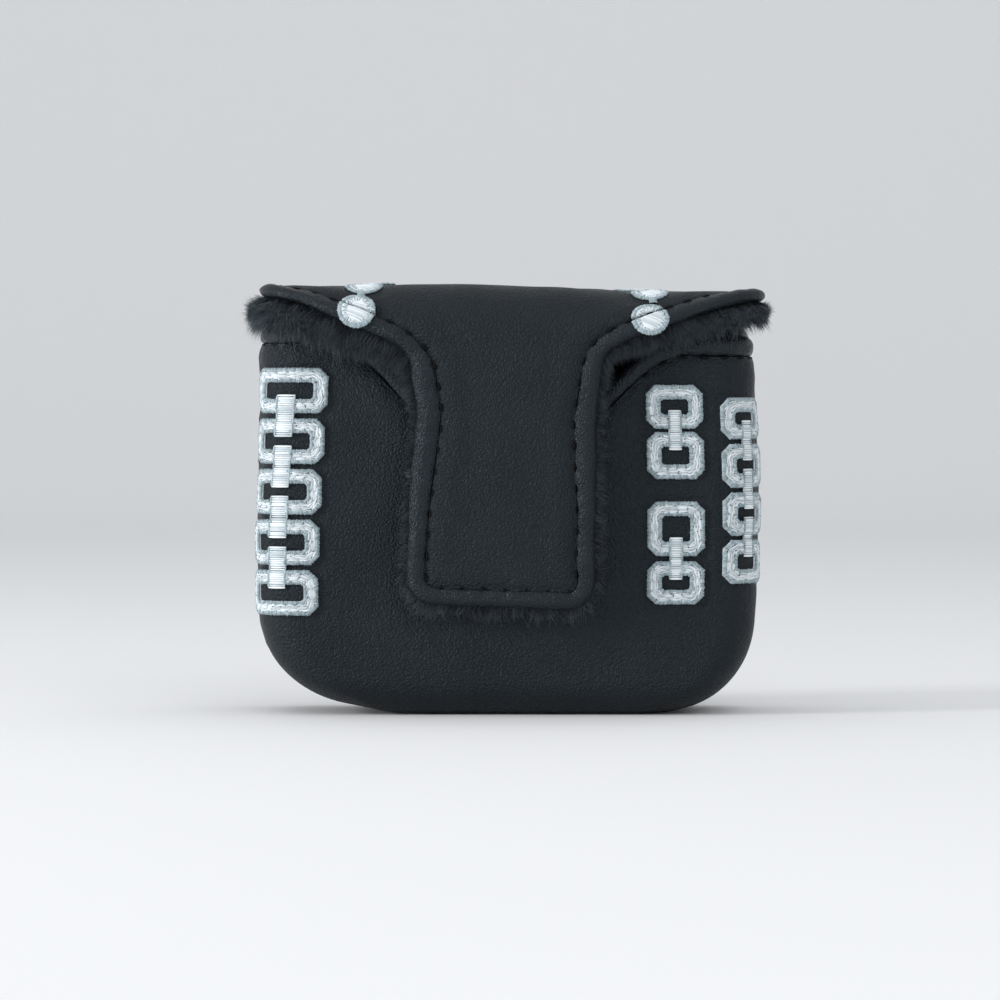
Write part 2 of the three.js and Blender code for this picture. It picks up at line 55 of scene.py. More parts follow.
# What the materials read from the meshes: places at rest, and how light a fibre is, with painted shade
# towards the roots of the pile
REST, TONE = "rest_mm", "tone"

# Pouch
POUCH_HALF_WIDTH = 63.8
POUCH_HALF_DEPTH = 23.0
SIDE_BULGE = 1.3
BASE_ROLL = 9.0
CORNER_LEFT = 27.5
CORNER_RISE = 1.6  # how far the lower left corner stands off the table
CORNER_RIGHT = 24.0
PLAN_CORNER = 11.0
HALF_SEAM = 0.03
MOUTH_Z = 98.3
SCOOP_DEPTH = 32.0
SCOOP_HALF_WIDTH = 47.0
MID_Z = 45.0

# Flap, in developed coordinates: x across, s along it, 0 where the front roll starts
ROLL = 14.0
ROLL_Z = 97.5
TONGUE_FACE = 31.9
TONGUE_LEAN = 0.035
LEAN_FROM = 38.0
SIDE_X = 60.1
TIP_S = 86.6
TIP_CORNER = 2.6
TIP_HALF_WIDTH = 19.6

# Layers, as depths below the outer face
LEATHER = (0.0, 1.2)
POUCH_PADDING = (1.5, 4.0)
POUCH_LINING = (4.3, 7.8)
FLAP_PADDING = (1.5, 3.5)
FLAP_LINING = (3.8, 6.8)
LEATHER_INSET = 5.4
RIGHT_REACH = 3.0  # the flap's right-hand corner reaches this much further out
BEAD_RADIUS = 4.95
BEAD_PITCH = 11.5
CHAIN_X = 38.4
CHAIN_DRAW_IN = 0.12
FRONT_BEAD_S = 14.3
MOTIF_STROKE = 3.6
STITCH_PITCH = 5.5
MAGNET_RADIUS = 6.0
DITCH = 0.42  # how far the leather is drawn in beside a binding
BINDING_LAP = 0.35  # how far a binding covers the leather's edge
MOUTH_BINDING, TONGUE_BINDING = 4.9, 4.6  # widths, before the bindings swell or broaden
LEFT_LIFT, RIGHT_LIFT = 3.4, 2.0  # how much higher the mouth is at the left, and right of the tongue
FRONT_PADDING_SWELL, BACK_PADDING_SWELL = 0.9, 2.4
RIGHT_SINK = 1.15  # how far the flap's top sinks towards its right-hand corner
THREAD, BAR_THREAD = 0.21, 0.3  # radii of the white thread and of the ties between the links
BAR_PITCH = 0.58

# Worked out from the above
FRONT_FLAT = POUCH_HALF_WIDTH - PLAN_CORNER
CORNER_ARC = PLAN_CORNER * math.pi / 2
SIDE_FLAT = 2 * (POUCH_HALF_DEPTH - PLAN_CORNER)
SEAM_U = FRONT_FLAT + CORNER_ARC + SIDE_FLAT / 2
BACK_CORNER_U = SEAM_U + SIDE_FLAT / 2
BACK_FLAT_U = BACK_CORNER_U + CORNER_ARC
BACK_MIDDLE_U = BACK_FLAT_U + FRONT_FLAT
ROLL_LENGTH = ROLL * math.pi / 2
BACK_ROLL_Y = POUCH_HALF_DEPTH - ROLL
FRONT_ROLL_Y = ROLL - TONGUE_FACE
TOP_FLAT = BACK_ROLL_Y - FRONT_ROLL_Y
BACK_FOLD_S = -TOP_FLAT - ROLL * math.pi / 4
MOUTH_LEATHER_Z = MOUTH_Z - LEATHER_INSET
CLIMB_FROM = SEAM_U + 4
CLIMB_TO = BACK_FLAT_U - 1.5
SPLIT_S = FRONT_BEAD_S - 2.5 * BEAD_PITCH  # the flap's fabric is cut in two pieces here
SHIFT_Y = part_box("back_panel")[1].y / MM - POUCH_HALF_DEPTH

# ---- Small tools ----


def clip(value, low=0.0, high=1.0):
    return np.clip(value, low, high)


def lerp(a, b, t):
    return a + (b - a) * t


def ease(t):
    t = clip(t)
    return t * t * (3 - 2 * t)


def bell(x, width):
    return np.exp(-((x / width) ** 2))


def full_turn(count):
    """That many angles spaced evenly round a circle."""
    return np.linspace(0, 2 * math.pi, count, endpoint=False)


def unit(v):
    return v / np.maximum(np.linalg.norm(v, axis=-1, keepdims=True), 1e-9)


def ripple(a, b, scale, seed):
    """Smooth noise of about -1 to 1 over a surface, its bumps about scale mm across."""
    draw = np.random.default_rng(seed)
    total = 0.0
    for _ in range(7):
        turn, phase = draw.uniform(0, 2 * math.pi, 2)
        pitch = scale * draw.uniform(1.2, 3.2)
        along = a * math.cos(turn) + b * math.sin(turn)
        total = total + np.sin(2 * math.pi * along / pitch + phase)
    return total / 3


def run_along(points):
    """The distance of each point along a line of them."""
    return np.concatenate([[0], np.cumsum(np.linalg.norm(np.diff(points, axis=0), axis=1))])


def read_at(places, run, columns):
    """Columns of values given along a run, read at other places along it."""
    return np.stack([np.interp(places, run, column) for column in columns.T], -1)


def closed(loop):
    return np.vstack([loop, loop[:1]])


def nearest_of(points, wanted):
    """The nearest of the points to each wanted place: its index, and how far off it is."""
    tree = kdtree.KDTree(len(points))
    for i, point in enumerate(points):
        tree.insert(point, i)
    tree.balance()
    found = [tree.find(place)[1:] for place in wanted]
    return np.array([f[0] for f in found]), np.array([f[1] for f in found])


def grid_quads(rows, columns, wrap=False):
    r, c = np.meshgrid(np.arange(rows - 1), np.arange(columns - (not wrap)), indexing="ij")
    a, b = r * columns + c, r * columns + (c + 1) % columns
    return np.stack([a, b, b + columns, a + columns], -1).reshape(-1, 4)


def tube_quads(count, rings, sides):
    """The quads of that many equal tubes, whose points follow one another."""
    one = grid_quads(rings, sides, wrap=True)
    return (one[None] + (np.arange(count) * rings * sides)[:, None, None]).reshape(-1, 4)


def linked(name, data):
    """A new object in the scene."""
    obj = bpy.data.objects.new(name, data)
    bpy.context.scene.collection.objects.link(obj)
    return obj


def piece(name, points, faces, materials, tones=None, slots=None, sharp=None):
    """A mesh object from points in mm and lists of faces with the same number of corners."""
    faces = [f for f in faces if len(f)]
    corners = np.concatenate([f.ravel() for f in faces])
    sizes = np.concatenate([np.full(len(f), f.shape[1]) for f in faces])
    mesh = bpy.data.meshes.new(name)
    place = (points + np.array([0, SHIFT_Y, 0])) * MM
    mesh.vertices.add(len(points))
    mesh.vertices.foreach_set("co", place.ravel())
    mesh.loops.add(len(corners))
    mesh.loops.foreach_set("vertex_index", corners)
    mesh.polygons.add(len(sizes))
    mesh.polygons.foreach_set("loop_start", np.concatenate([[0], np.cumsum(sizes)[:-1]]))
    for m in materials:
        mesh.materials.append(m)
    if slots is not None:
        mesh.polygons.foreach_set("material_index", slots)
    rest = mesh.attributes.new(REST, "FLOAT_VECTOR", "POINT")
    rest.data.foreach_set("vector", points.astype(np.float32).ravel())
    if tones is not None:
        tone = mesh.attributes.new(TONE, "FLOAT", "POINT")
        tone.data.foreach_set("value", tones.astype(np.float32).ravel())
    mesh.update(calc_edges=True)
    mesh.shade_smooth()
    if sharp:
        mesh.set_sharp_from_angle(angle=math.radians(sharp))
    return linked(name, mesh)


def volume(points, quads):
    a, b, c, d = (points[quads[:, i]] for i in range(4))
    return (a * np.cross(b, c)).sum() + (a * np.cross(c, d)).sum()


def slab(name, outer, inner, quads, materials):
    """A closed slab between two matching sets of points, with a rim where a quad has no neighbour."""
    edges = np.concatenate([quads[:, [i, (i + 1) % 4]] for i in range(4)])
    sorted_edges = np.sort(edges, axis=1)
    _, first, uses = np.unique(sorted_edges, axis=0, return_index=True, return_counts=True)
    rim, n = edges[first[uses == 1]], len(outer)
    sides = np.stack([rim[:, 1], rim[:, 0], rim[:, 0] + n, rim[:, 1] + n], -1)
    points = np.vstack([outer, inner])
    quads = np.vstack([quads, quads[:, ::-1] + n, sides])
    if volume(points, quads) < 0:
        quads = quads[:, ::-1]
    obj = piece(name, points, [quads], materials, sharp=60)
    merge_close(obj)
    return obj


def merge_close(obj):
    """Joins the points that coincide, as at the ends of the seam under the base."""
    work = bmesh.new()
    work.from_mesh(obj.data)
    bmesh.ops.remove_doubles(work, verts=work.verts, dist=2e-6)
    work.to_mesh(obj.data)
    work.free()


# ---- The pouch's surface ----


def half_width(z, d, radius):
    reach = POUCH_HALF_WIDTH + SIDE_BULGE * np.sin(math.pi * clip(z / MOUTH_Z))
    arc = np.sqrt(np.maximum(0, (radius - d) ** 2 - (radius - z) ** 2))
    return np.where(z >= radius, reach - d, reach - radius + arc)


def front_depth(z, d):
    run = np.sqrt(np.maximum(0, (BASE_ROLL - d) ** 2 - (BASE_ROLL - z) ** 2))
    return np.where(z >= BASE_ROLL, POUCH_HALF_DEPTH - d, POUCH_HALF_DEPTH - BASE_ROLL + run)


def back_depth(z, d):
    run = np.sqrt(np.maximum(0, (ROLL - d) ** 2 - (z - ROLL_Z) ** 2))
    return np.where(z <= ROLL_Z, front_depth(z, d), BACK_ROLL_Y + run)


def pouch(u, z, d):
    """Points of the pouch: u runs round it from the middle of the front, positive to the right."""
    u, z, d = np.broadcast_arrays(*(np.asarray(v, float) for v in (u, z, d)))
    side, along = np.where(u < 0, -1.0, 1.0), np.abs(u)
    width = half_width(z, d, np.where(u < 0, CORNER_LEFT, CORNER_RIGHT))
    front, back = front_depth(z, d), back_depth(z, d)
    opened = clip((z - ROLL_Z) / ROLL)
    r = np.maximum(0.4, PLAN_CORNER * (1 - 0.7 * opened) - d)
    front_turn = clip((along - FRONT_FLAT) / CORNER_ARC) * math.pi / 2
    back_turn = clip((along - BACK_CORNER_U) / CORNER_ARC) * math.pi / 2
    share = clip((along - FRONT_FLAT - CORNER_ARC) / SIDE_FLAT)
    ends = (FRONT_FLAT, FRONT_FLAT + CORNER_ARC, BACK_CORNER_U, BACK_FLAT_U)
    parts = [along < end for end in ends]
    x = np.select(
        parts,
        [
            along / FRONT_FLAT * (width - r),
            width - r + r * np.sin(front_turn),
            width,
            width - r + r * np.cos(back_turn),
        ],
        (1 - (along - BACK_FLAT_U) / FRONT_FLAT) * (width - r),
    )
    y = np.select(
        parts,
        [
            -front,
            r - front - r * np.cos(front_turn),
            lerp(r - front, back - r, share),
            back - r + r * np.sin(back_turn),
        ],
        back,
    )
    z = z + CORNER_RISE * ease((-side * x - 26) / 16) * (1 - ease(z / 18))
    return np.stack([side * x, y, z], -1)


def fold_height(d):
    return ROLL_Z + (ROLL - d) * math.sin(math.pi / 4)


def mouth_lift(u):
    """The mouth's edge sits higher at the left, and a little higher beside the tongue at the right."""
    return LEFT_LIFT * ease(-u / 26) + RIGHT_LIFT * bell(u - 25, 15)


def leather_top(u, d=0.0):
    along = np.abs(u)
    wave = math.pi * along / SCOOP_HALF_WIDTH
    dip = SCOOP_DEPTH * (1 + np.cos(wave)) / 2
    slope = SCOOP_DEPTH * math.pi / (2 * SCOOP_HALF_WIDTH) * np.sin(wave)
    scoop = MOUTH_Z - dip - LEATHER_INSET * np.hypot(1, slope)
    climbed = clip((along - CLIMB_FROM) / (CLIMB_TO - CLIMB_FROM))
    lift = mouth_lift(u)
    side = lerp(MOUTH_LEATHER_Z + lift, fold_height(d), climbed**2)
    return np.where(along < SCOOP_HALF_WIDTH, scoop + lift, side)


def mouth_distance(u, z):
    """Distance down from the leather's edge round the mouth, at right angles to it."""
    slope = (leather_top(u + 0.5) - leather_top(u - 0.5)) / 1.0
    return (leather_top(u) - z) / np.hypot(1, slope)


# Embroidered links, (u, z, wide, tall)
LEFT_LINKS = [(-56.4 - 0.04 * 13.1 * i, 84.2 - 13.1 * i, 21.0, 11.6) for i in range(5)]
INNER_UPPER = [(42.8, 80.0, 14.4, 11.2), (42.8, 67.4, 14.4, 12.0)]
INNER_LOWER = [(42.8, 48.4, 14.4, 14.0), (42.8, 34.4, 14.4, 11.0)]
OUTER_LINKS = [(61.6, z, 14.0, tall) for z, tall in ((77, 10.6), (64.7, 11.2), (52.2, 11.0), (39.8, 11.2))]
CHAINS = {
    "left_chain": LEFT_LINKS,
    "inner_chain_upper": INNER_UPPER,
    "inner_chain_lower": INNER_LOWER,
    "outer_chain": OUTER_LINKS,
}


def pouch_swell(u, z, seam, along_seam):
    """How far the leather stands out of its plain shape: padding, creases, seam and stitching."""
    lifted = ease((z - 1) / 16)
    middle = np.where(np.abs(u) < SEAM_U, np.abs(u) / 68, np.abs(BACK_MIDDLE_U - np.abs(u)) / 72)
    crown = np.cos(clip(middle) * math.pi / 2) * np.sin(math.pi * clip(z / 104))
    swell = np.where(np.abs(u) < SEAM_U, FRONT_PADDING_SWELL, BACK_PADDING_SWELL) * crown
    around = np.where(u < -SEAM_U, u + 2 * BACK_MIDDLE_U, u)
    loose = 0.32 + 0.3 * ease((np.abs(u) - SEAM_U) / 20)
    swell = swell + loose * ripple(around, z, 27, 1) + 0.35 * loose * ripple(around, z, 10, 2)
    edge = mouth_distance(u, z)
    swell = swell - DITCH * bell(edge, 1.1) + 0.3 * bell(edge - 5.0, 3.4)
    swell = swell + 0.06 * np.cos(2 * math.pi * u / STITCH_PITCH) * bell(edge - 1.4, 1.5)
    for cu, cz, wide, tall in [link for links in CHAINS.values() for link in links]:
        out = np.maximum(np.abs(u - cu) - wide / 2, np.abs(z - cz) - tall / 2)
        swell = swell - 0.28 * bell(out - 0.35, 0.75)
    swell = swell * lifted
    swell = swell + lifted * 0.55 * bell(seam - 4.6, 3.0)
    swell = swell - 1.3 * bell(seam, 1.3)
    pucker = np.sin(2 * math.pi * along_seam / 5.4) + 0.5 * np.sin(2 * math.pi * along_seam / 8.3 + 1)
    return swell + 0.2 * pucker * bell(seam - 2.6, 2.0) * ease((z + 6) / 16)


def pouch_rows(u, depth, upper_shares, seam_y, fine):
    """Rows of points from the seam under the base up to the mouth, over the stations u."""

    def face(z, y_share=1.0, base=False):
        z = np.broadcast_to(z, u.shape).astype(float)
        if base:
            y = lerp(abs(seam_y), POUCH_HALF_DEPTH - BASE_ROLL, y_share)
            swell = pouch_swell(u, np.zeros_like(u), np.full_like(u, y), pouch(u, 0.0, 0.0)[:, 0])
        else:
            seam = np.abs(np.abs(u) - SEAM_U) + 6 * ease(1 - z / 6)
            swell = pouch_swell(u, z, seam, z)
        d = depth - (swell if fine else 0)
        if base:
            bottom = pouch(u, np.maximum(d, 0), d)
            bottom[:, 1] = lerp(seam_y, bottom[:, 1], y_share)
            return bottom
        return pouch(u, np.maximum(z, d), d)

    step = 1 if fine else 3
    rows = [face(0.0, share, True) for share in np.linspace(0, 1, 13)[::step][:-1]]
    turns = np.linspace(0, math.pi / 2, 13)[::step]
    rows += [face(BASE_ROLL - (BASE_ROLL - depth) * math.cos(a)) for a in turns]
    count = 38 if fine else 10
    rows += [face(z) for z in np.linspace(BASE_ROLL, MID_Z, count)[1:]]
    rows += [face(lerp(MID_Z, leather_top(u, depth), share)) for share in upper_shares]
    return rows


# Spacing of the meshes' points, in mm: over the leather, beside its seams, and in hidden layers
FINE, CLOSE, COARSE = 0.82, 0.42, 2.6
NEAR_SEAM = 7  # how far from a seam is still beside it


def side_stations(start, end, step):
    return np.linspace(start, end, max(2, round(abs(end - start) / step) + 1))


FINE_SHARES = np.concatenate([np.linspace(0.018, 0.88, 44), np.linspace(0.892, 1, 16)])
COARSE_SHARES = np.linspace(0.07, 1, 14)


def front_stations(fine):
    if not fine:
        return side_stations(HALF_SEAM - SEAM_U, SEAM_U - HALF_SEAM, COARSE)
    near = side_stations(SEAM_U - NEAR_SEAM, SEAM_U - HALF_SEAM, CLOSE)
    middle = side_stations(NEAR_SEAM - SEAM_U, SEAM_U - NEAR_SEAM, FINE)
    return np.concatenate([-near[::-1], middle[1:-1], near])


def front_layer(name, layer, material, fine, hole=None):
    u = front_stations(fine)
    shares = FINE_SHARES if fine else COARSE_SHARES
    rows = [pouch_rows(u, d, shares, -HALF_SEAM, fine) for d in layer]
    outer, inner = (np.concatenate(r) for r in rows)
    quads = grid_quads(len(rows[0]), len(u))
    return slab(name, outer, inner, without_holes(quads, outer, hole), [material])


def without_holes(quads, points, hole):
    """The quads left when round pockets are cut, each (x, z, radius)."""
    for x, z, radius in hole or []:
        middle = points[quads].mean(1)
        quads = quads[np.hypot(middle[:, 0] - x, middle[:, 2] - z) > radius]
    return quads


# ---- The flap's surface ----


def flap_sag(x, s):
    """The flap's top sinks towards its right-hand corner."""
    on_top = ease((s - BACK_FOLD_S) / 14) * ease((26 - s) / 22)
    return RIGHT_SINK * on_top * ease((x - 10) / 24)


def flap(x, s, d):
    x, s, d = np.broadcast_arrays(*(np.asarray(v, float) for v in (x, s, d)))
    lean = TONGUE_LEAN * np.maximum(0, s - LEAN_FROM)
    along = s + TONGUE_LEAN * x * clip((s - LEAN_FROM) / 20)
    r = ROLL - d
    front, back = along / ROLL, (-TOP_FLAT - along) / ROLL
    parts = [along > ROLL_LENGTH, along > 0, along > -TOP_FLAT]
    y = np.select(
        parts,
        [d - TONGUE_FACE, FRONT_ROLL_Y - r * np.sin(front), FRONT_ROLL_Y - along],
        BACK_ROLL_Y + r * np.sin(back),
    )
    z = np.select(
        parts,
        [ROLL_Z - (along - ROLL_LENGTH), ROLL_Z + r * np.cos(front), ROLL_Z + r],
        ROLL_Z + r * np.cos(back),
    )
    return np.stack([x - lean, y, z - flap_sag(x, s)], -1)


def bezier(points, count):
    t = np.linspace(0, 1, count)[:, None]
    p = [np.array(q, float) for q in points]
    while len(p) > 1:
        p = [lerp(a, b, t) for a, b in zip(p, p[1:])]
    return p[0]


def resampled(points, step):
    """Points spaced evenly along a line of any dimension, and the length up to each."""
    run = run_along(points)
    at = np.linspace(0, run[-1], max(2, round(run[-1] / step) + 1))
    return read_at(at, run, points), at


def smoothed(points, passes):
    """The line with its kinks eased, its ends kept."""
    points = points.copy()
    for _ in range(passes):
        points[1:-1] = 0.25 * points[:-2] + 0.5 * points[1:-1] + 0.25 * points[2:]
    return points


def flap_edge():
    """Right-hand edge of the flap's leather from the split to the tip's corner, as (x, s)."""
    side = np.array([[SIDE_X, SPLIT_S], [SIDE_X, -2.5]])
    corner = bezier([(SIDE_X, -2.5), (SIDE_X, 1.5), (SIDE_X - 3.4, 3.4)], 12)
    neck = bezier([(41.3, 12.3), (30, 17.8), (21.4, 19.5), (20.1, 29.4)], 30)
    down = np.array([[18.4, 42], [19.0, 63], [TIP_HALF_WIDTH, TIP_S - TIP_CORNER]])
    line, _ = resampled(np.vstack([side, corner[1:], neck, down]), 0.4)
    line = smoothed(line, 24)
    turn = np.linspace(0, math.pi / 2, 9)[1:, None]
    middle = np.array([TIP_HALF_WIDTH - TIP_CORNER, TIP_S - TIP_CORNER])
    tip = middle + TIP_CORNER * np.hstack([np.cos(turn), np.sin(turn)])
    return np.vstack([line, tip])


EDGE = flap_edge()


def one_side(side):
    """The leather's edge on one side, as (x, s): its binding is broad at the neck."""
    x, s = EDGE.T
    broad = ease((s - 20) / 12) * ease((74 - s) / 34)
    x = x - broad * (1.0 if side > 0 else 1.7)
    if side > 0:
        x = x + RIGHT_REACH * ease((12 - s) / 14)
    return np.stack([side * x, s], -1)


RIGHT_EDGE, LEFT_EDGE = one_side(1), one_side(-1)
ROUND_EDGE = np.vstack([RIGHT_EDGE, LEFT_EDGE[::-1]])  # right, round the tip, left
FOLD_X = abs(pouch(CLIMB_TO, fold_height(0.0), 0.0)[0])


def flap_side_x(s, side):
    """Half width of the flap's top at one side, eased into the pouch's at the back fold."""
    full = SIDE_X + np.where(np.asarray(side) > 0, RIGHT_REACH, 0.0)
    return lerp(FOLD_X, full, ease((s - BACK_FOLD_S) / 14))


def edge_distance(x, s):
    """Distance from the flap's edge, and how far along it the nearest point lies."""
    line, run = resampled(ROUND_EDGE, 0.6)
    wanted = np.stack([np.ravel(x), np.ravel(s), 0 * np.ravel(x)], -1)
    index, distance = nearest_of(np.pad(line, ((0, 0), (0, 1))), wanted)
    return distance.reshape(x.shape), run[index].reshape(x.shape)


def chain_line(s):
    """How far from the middle the chains of beads run."""
    return CHAIN_X - CHAIN_DRAW_IN * (FRONT_BEAD_S - s)


def flap_waves(x, s):
    """The slow rise and fall of the flap's face, without its edges."""
    on_top = ease((s + 46) / 10) * ease((26 - s) / 14)
    swell = (0.45 * ripple(x, 0.5 * s, 34, 5) - 0.15) * on_top
    swell = swell + 0.22 * ripple(x, s, 20, 6) + 0.08 * ripple(x, s, 8, 7)
    on_chain = ease((s + 40) / 8) * ease((22 - s) / 12)
    swell = swell - 0.6 * on_chain * bell(np.abs(x) - chain_line(s), 7)
    on_tongue = ease((s - 20) / 14) * ease((TIP_S - s) / 14)
    return swell + on_tongue * 0.8 * np.cos(clip(np.abs(x) / 21) * math.pi / 2)


def edge_roll(edge):
    """The face beside a binding: drawn into a ditch, with a low roll inside it."""
    return 0.28 * bell(edge - 4.2, 2.8) - DITCH * bell(edge, 1.1)


def flap_swell(x, s):
    edge, run = edge_distance(x, s)
    pucker = np.cos(2 * math.pi * run / STITCH_PITCH)
    return flap_waves(x, s) + edge_roll(edge) - 0.07 * pucker * bell(edge - 1.4, 1.4)


def flap_layer(name, layer, material, fine, hole=None):
    edges = np.hstack([RIGHT_EDGE, LEFT_EDGE[:, :1]])
    down, _ = resampled(edges[:-8], 0.95 if fine else 3.2)
    edges = np.vstack([down[:-1], edges[-9 :: 1 if fine else 4]])
    share = np.linspace(-1, 1, 129 if fine else 41)
    share = np.sign(share) * (1 - (1 - np.abs(share)) ** (1.2 if fine else 1.0))
    x = np.where(share > 0, edges[:, :1] * share, -edges[:, 2:] * share)
    s = np.broadcast_to(edges[:, 1:2], x.shape)
    swell = flap_swell(x, s) if fine else 0.0
    outer, inner = (flap(x, s, d - swell).reshape(-1, 3) for d in layer)
    quads = without_holes(grid_quads(*x.shape), outer, hole)
    return slab(name, outer, inner, quads, [material])


def back_layer(name, layer, material, fine):
    """The back of the pouch with the back half of the flap's top, and the two corners beside it.
    The corners are pieces of their own, because they stay with the pouch when the flap opens."""
    first = side_stations(SEAM_U + HALF_SEAM, SEAM_U + NEAR_SEAM, CLOSE if fine else COARSE)
    second = side_stations(SEAM_U + NEAR_SEAM, CLIMB_TO, FINE if fine else COARSE)
    third = side_stations(CLIMB_TO, BACK_MIDDLE_U, 0.9 if fine else 2.8)
    half = np.concatenate([first, second[1:], third[1:]])
    u = np.concatenate([half, -half[:-1][::-1]])
    on_flap = np.abs(u) >= CLIMB_TO - 1e-6
    shares = FINE_SHARES if fine else COARSE_SHARES
    lengths = side_stations(BACK_FOLD_S, SPLIT_S, 0.8 if fine else COARSE)[1:]
    faces = []
    for d in layer:
        rows = pouch_rows(u, d, shares, HALF_SEAM, fine)
        fold_x = rows[-1][:, 0]
        held = pouch_swell(u, fold_height(0.0) + 0 * u, np.full_like(u, 99.0), 0 * u)
        for s in lengths:
            half = flap_side_x(s, fold_x)
            x = fold_x / np.abs(fold_x[on_flap]).max() * half
            swell = 0.0
            if fine:
                free = flap_waves(x, s + 0 * x) + edge_roll(half - np.abs(x))
                swell = lerp(held, free, ease((s - BACK_FOLD_S) / 14))
            rows.append(flap(x, s, d - swell))
        faces.append(np.concatenate(rows))
    quads = grid_quads(len(rows), len(u))
    row, column = quads[:, 0] // len(u), quads % len(u)
    top_row = len(rows) - len(lengths) - 1
    in_corner = (row >= top_row - len(shares)) & (np.abs(u[column]).max(1) <= CLIMB_TO + 1e-6)
    in_back = ~in_corner & ((row < top_row) | on_flap[column].all(1))
    made = []
    for part_name, kept in (
        (name, in_back),
        (f"left_corner_{name}", in_corner & (row < top_row) & (u[column[:, 0]] < 0)),
        (f"right_corner_{name}", in_corner & (row < top_row) & (u[column[:, 0]] > 0)),
    ):
        used = np.unique(quads[kept])
        renumber = np.zeros(len(faces[0]), int)
        renumber[used] = np.arange(len(used))
        outer, inner = (face[used] for face in faces)
        made.append(slab(part_name, outer, inner, renumber[quads[kept]], [material]))
    return made


# ---- Edges with bindings, stitches and fur ----


def frames_along(place, passes=0, step=0.6):
    """Points, normals, outward and forward directions, evenly spaced along an edge.
    place(d) gives the edge's points at depth d."""
    above, middle, below = (smoothed(place(d), passes) for d in (-1, 0, 1))
    packed, _ = resampled(np.hstack([middle, above - below]), step)
    point, normal = packed[:, :3], unit(packed[:, 3:])
    # the spacing is along all six columns, so the run is measured again on the points
    run = run_along(point)
    forward = unit(np.gradient(point, axis=0))
    outward = unit(np.cross(normal, forward))
    return {"point": point, "normal": normal, "out": outward, "forward": forward, "run": run}


def part_of(frames, first, last):
    return {key: value[first : last + 1] for key, value in frames.items()}


def frames_at(frames, at):
    """The frames of an edge at distances along it."""
    return {key: read_at(at, frames["run"], frames[key]) for key in ("point", "normal", "out", "forward")}


def mouth_line(d):
    """The leather's edge from the left of the split, round the mouth, to the right of it."""
    u = side_stations(-CLIMB_TO, CLIMB_TO, 0.45)
    mouth = pouch(u, leather_top(u, d), d)
    s = side_stations(SPLIT_S, BACK_FOLD_S, 0.45)[:-1]
    left, right = (flap(side * flap_side_x(s, side), s, d) for side in (-1, 1))
    return np.vstack([left, mouth, right[::-1]])


MOUTH = frames_along(mouth_line, passes=30)
TONGUE = frames_along(lambda d: flap(ROUND_EDGE[:, 0], ROUND_EDGE[:, 1], d), passes=2)
ON_SIDE = np.abs(MOUTH["point"][:, 1]) + 100 * (MOUTH["point"][:, 2] > MOUTH_Z)
MIDDLE = len(MOUTH["run"]) // 2
LEFT_SEAM = int(np.argmin(ON_SIDE[:MIDDLE]))
RIGHT_SEAM = MIDDLE + int(np.argmin(ON_SIDE[MIDDLE:]))
LEFT_FOLD, RIGHT_FOLD = (
    int(np.argmin(np.linalg.norm(MOUTH["point"] - pouch(u, fold_height(0.0), 0.0), axis=1)))
    for u in (-CLIMB_TO, CLIMB_TO)
)


def mouth_width(frames):
    """The binding stands a little higher round the right of the mouth."""
    x, z = frames["point"][:, 0], frames["point"][:, 2]
    high = 0.9 * ease((x - 30) / 12) * ease((102 - z) / 6)
    return MOUTH_BINDING + high + 0.15 * np.sin(frames["run"] / 17)


def tongue_width(frames):
    """The binding is broadest at the tongue's upper half, more so at the left."""
    x, z = frames["point"][:, 0], frames["point"][:, 2]
    on_tongue = ease((100 - z) / 12)
    high = on_tongue * ease((z - 38) / 34)
    return TONGUE_BINDING + 0.5 * on_tongue + high * np.where(x < 0, 1.6, 0.8)


def binding(name, frames, seed, around=36):
    """A puffy rolled strip round an edge, pinched at each stitch."""
    run = frames["run"][:, None]
    turn = full_turn(around)[None]
    slow = ripple(run, 0 * run, 16, seed)
    wide = frames["width"][:, None] * (1 + 0.03 * slow)
    thick = frames["thick"][:, None]
    top = 0.42 + 0.14 * ripple(run, 0 * run, 11, seed + 1)
    # full and round outside, flatter beside the stitches
    power = np.where(np.cos(turn) > 0, 1.0, 0.7)
    across = np.sign(np.cos(turn)) * np.abs(np.cos(turn)) ** power
    up = np.sign(np.sin(turn)) * np.abs(np.sin(turn)) ** power
    out = wide / 2 * (1 + across) - BINDING_LAP
    height = (top - thick) / 2 + (top + thick) / 2 * up
    crease = ripple(run, 3 * turn, 5.5, seed + 2)
    fine = ripple(run, 3 * turn, 2.2, seed + 3)
    out = out + (0.11 * crease + 0.04 * fine) * across
    height = height + (0.11 * crease + 0.05 * fine) * up
    pinch = (0.5 + 0.5 * np.cos(2 * math.pi * run / STITCH_PITCH)) ** 2
    near = ease(1.1 - out / (0.62 * wide)) * ease((height + 2.4) / 2.0)
    height = height - (0.1 + 0.16 * pinch) * near
    out = out + 0.08 * pinch * near
    points = (
        frames["point"][:, None]
        + frames["out"][:, None] * out[..., None]
        + frames["normal"][:, None] * height[..., None]
    )
    rows = len(run)
    quads = grid_quads(rows, around, wrap=True)
    points = points.reshape(-1, 3)
    caps = np.array([np.arange(around)[::-1], (rows - 1) * around + np.arange(around)])
    if volume(points, quads) < 0:
        quads, caps = quads[:, ::-1], caps[:, ::-1]
    return piece(name, points, [quads, caps], [roll_leather], sharp=70)


def tubes(centres, side, up, radius_side, radius_up, sides=7):
    """Tubes with open ends through rows of centres (n, rings, 3), as points and quads."""
    count, rings = centres.shape[:2]
    turn = full_turn(sides)
    around = (
        side[:, :, None] * (np.cos(turn) * radius_side[..., None])[..., None]
        + up[:, :, None] * (np.sin(turn) * radius_up[..., None])[..., None]
    )
    return (centres[:, :, None] + around).reshape(-1, 3), tube_quads(count, rings, sides)


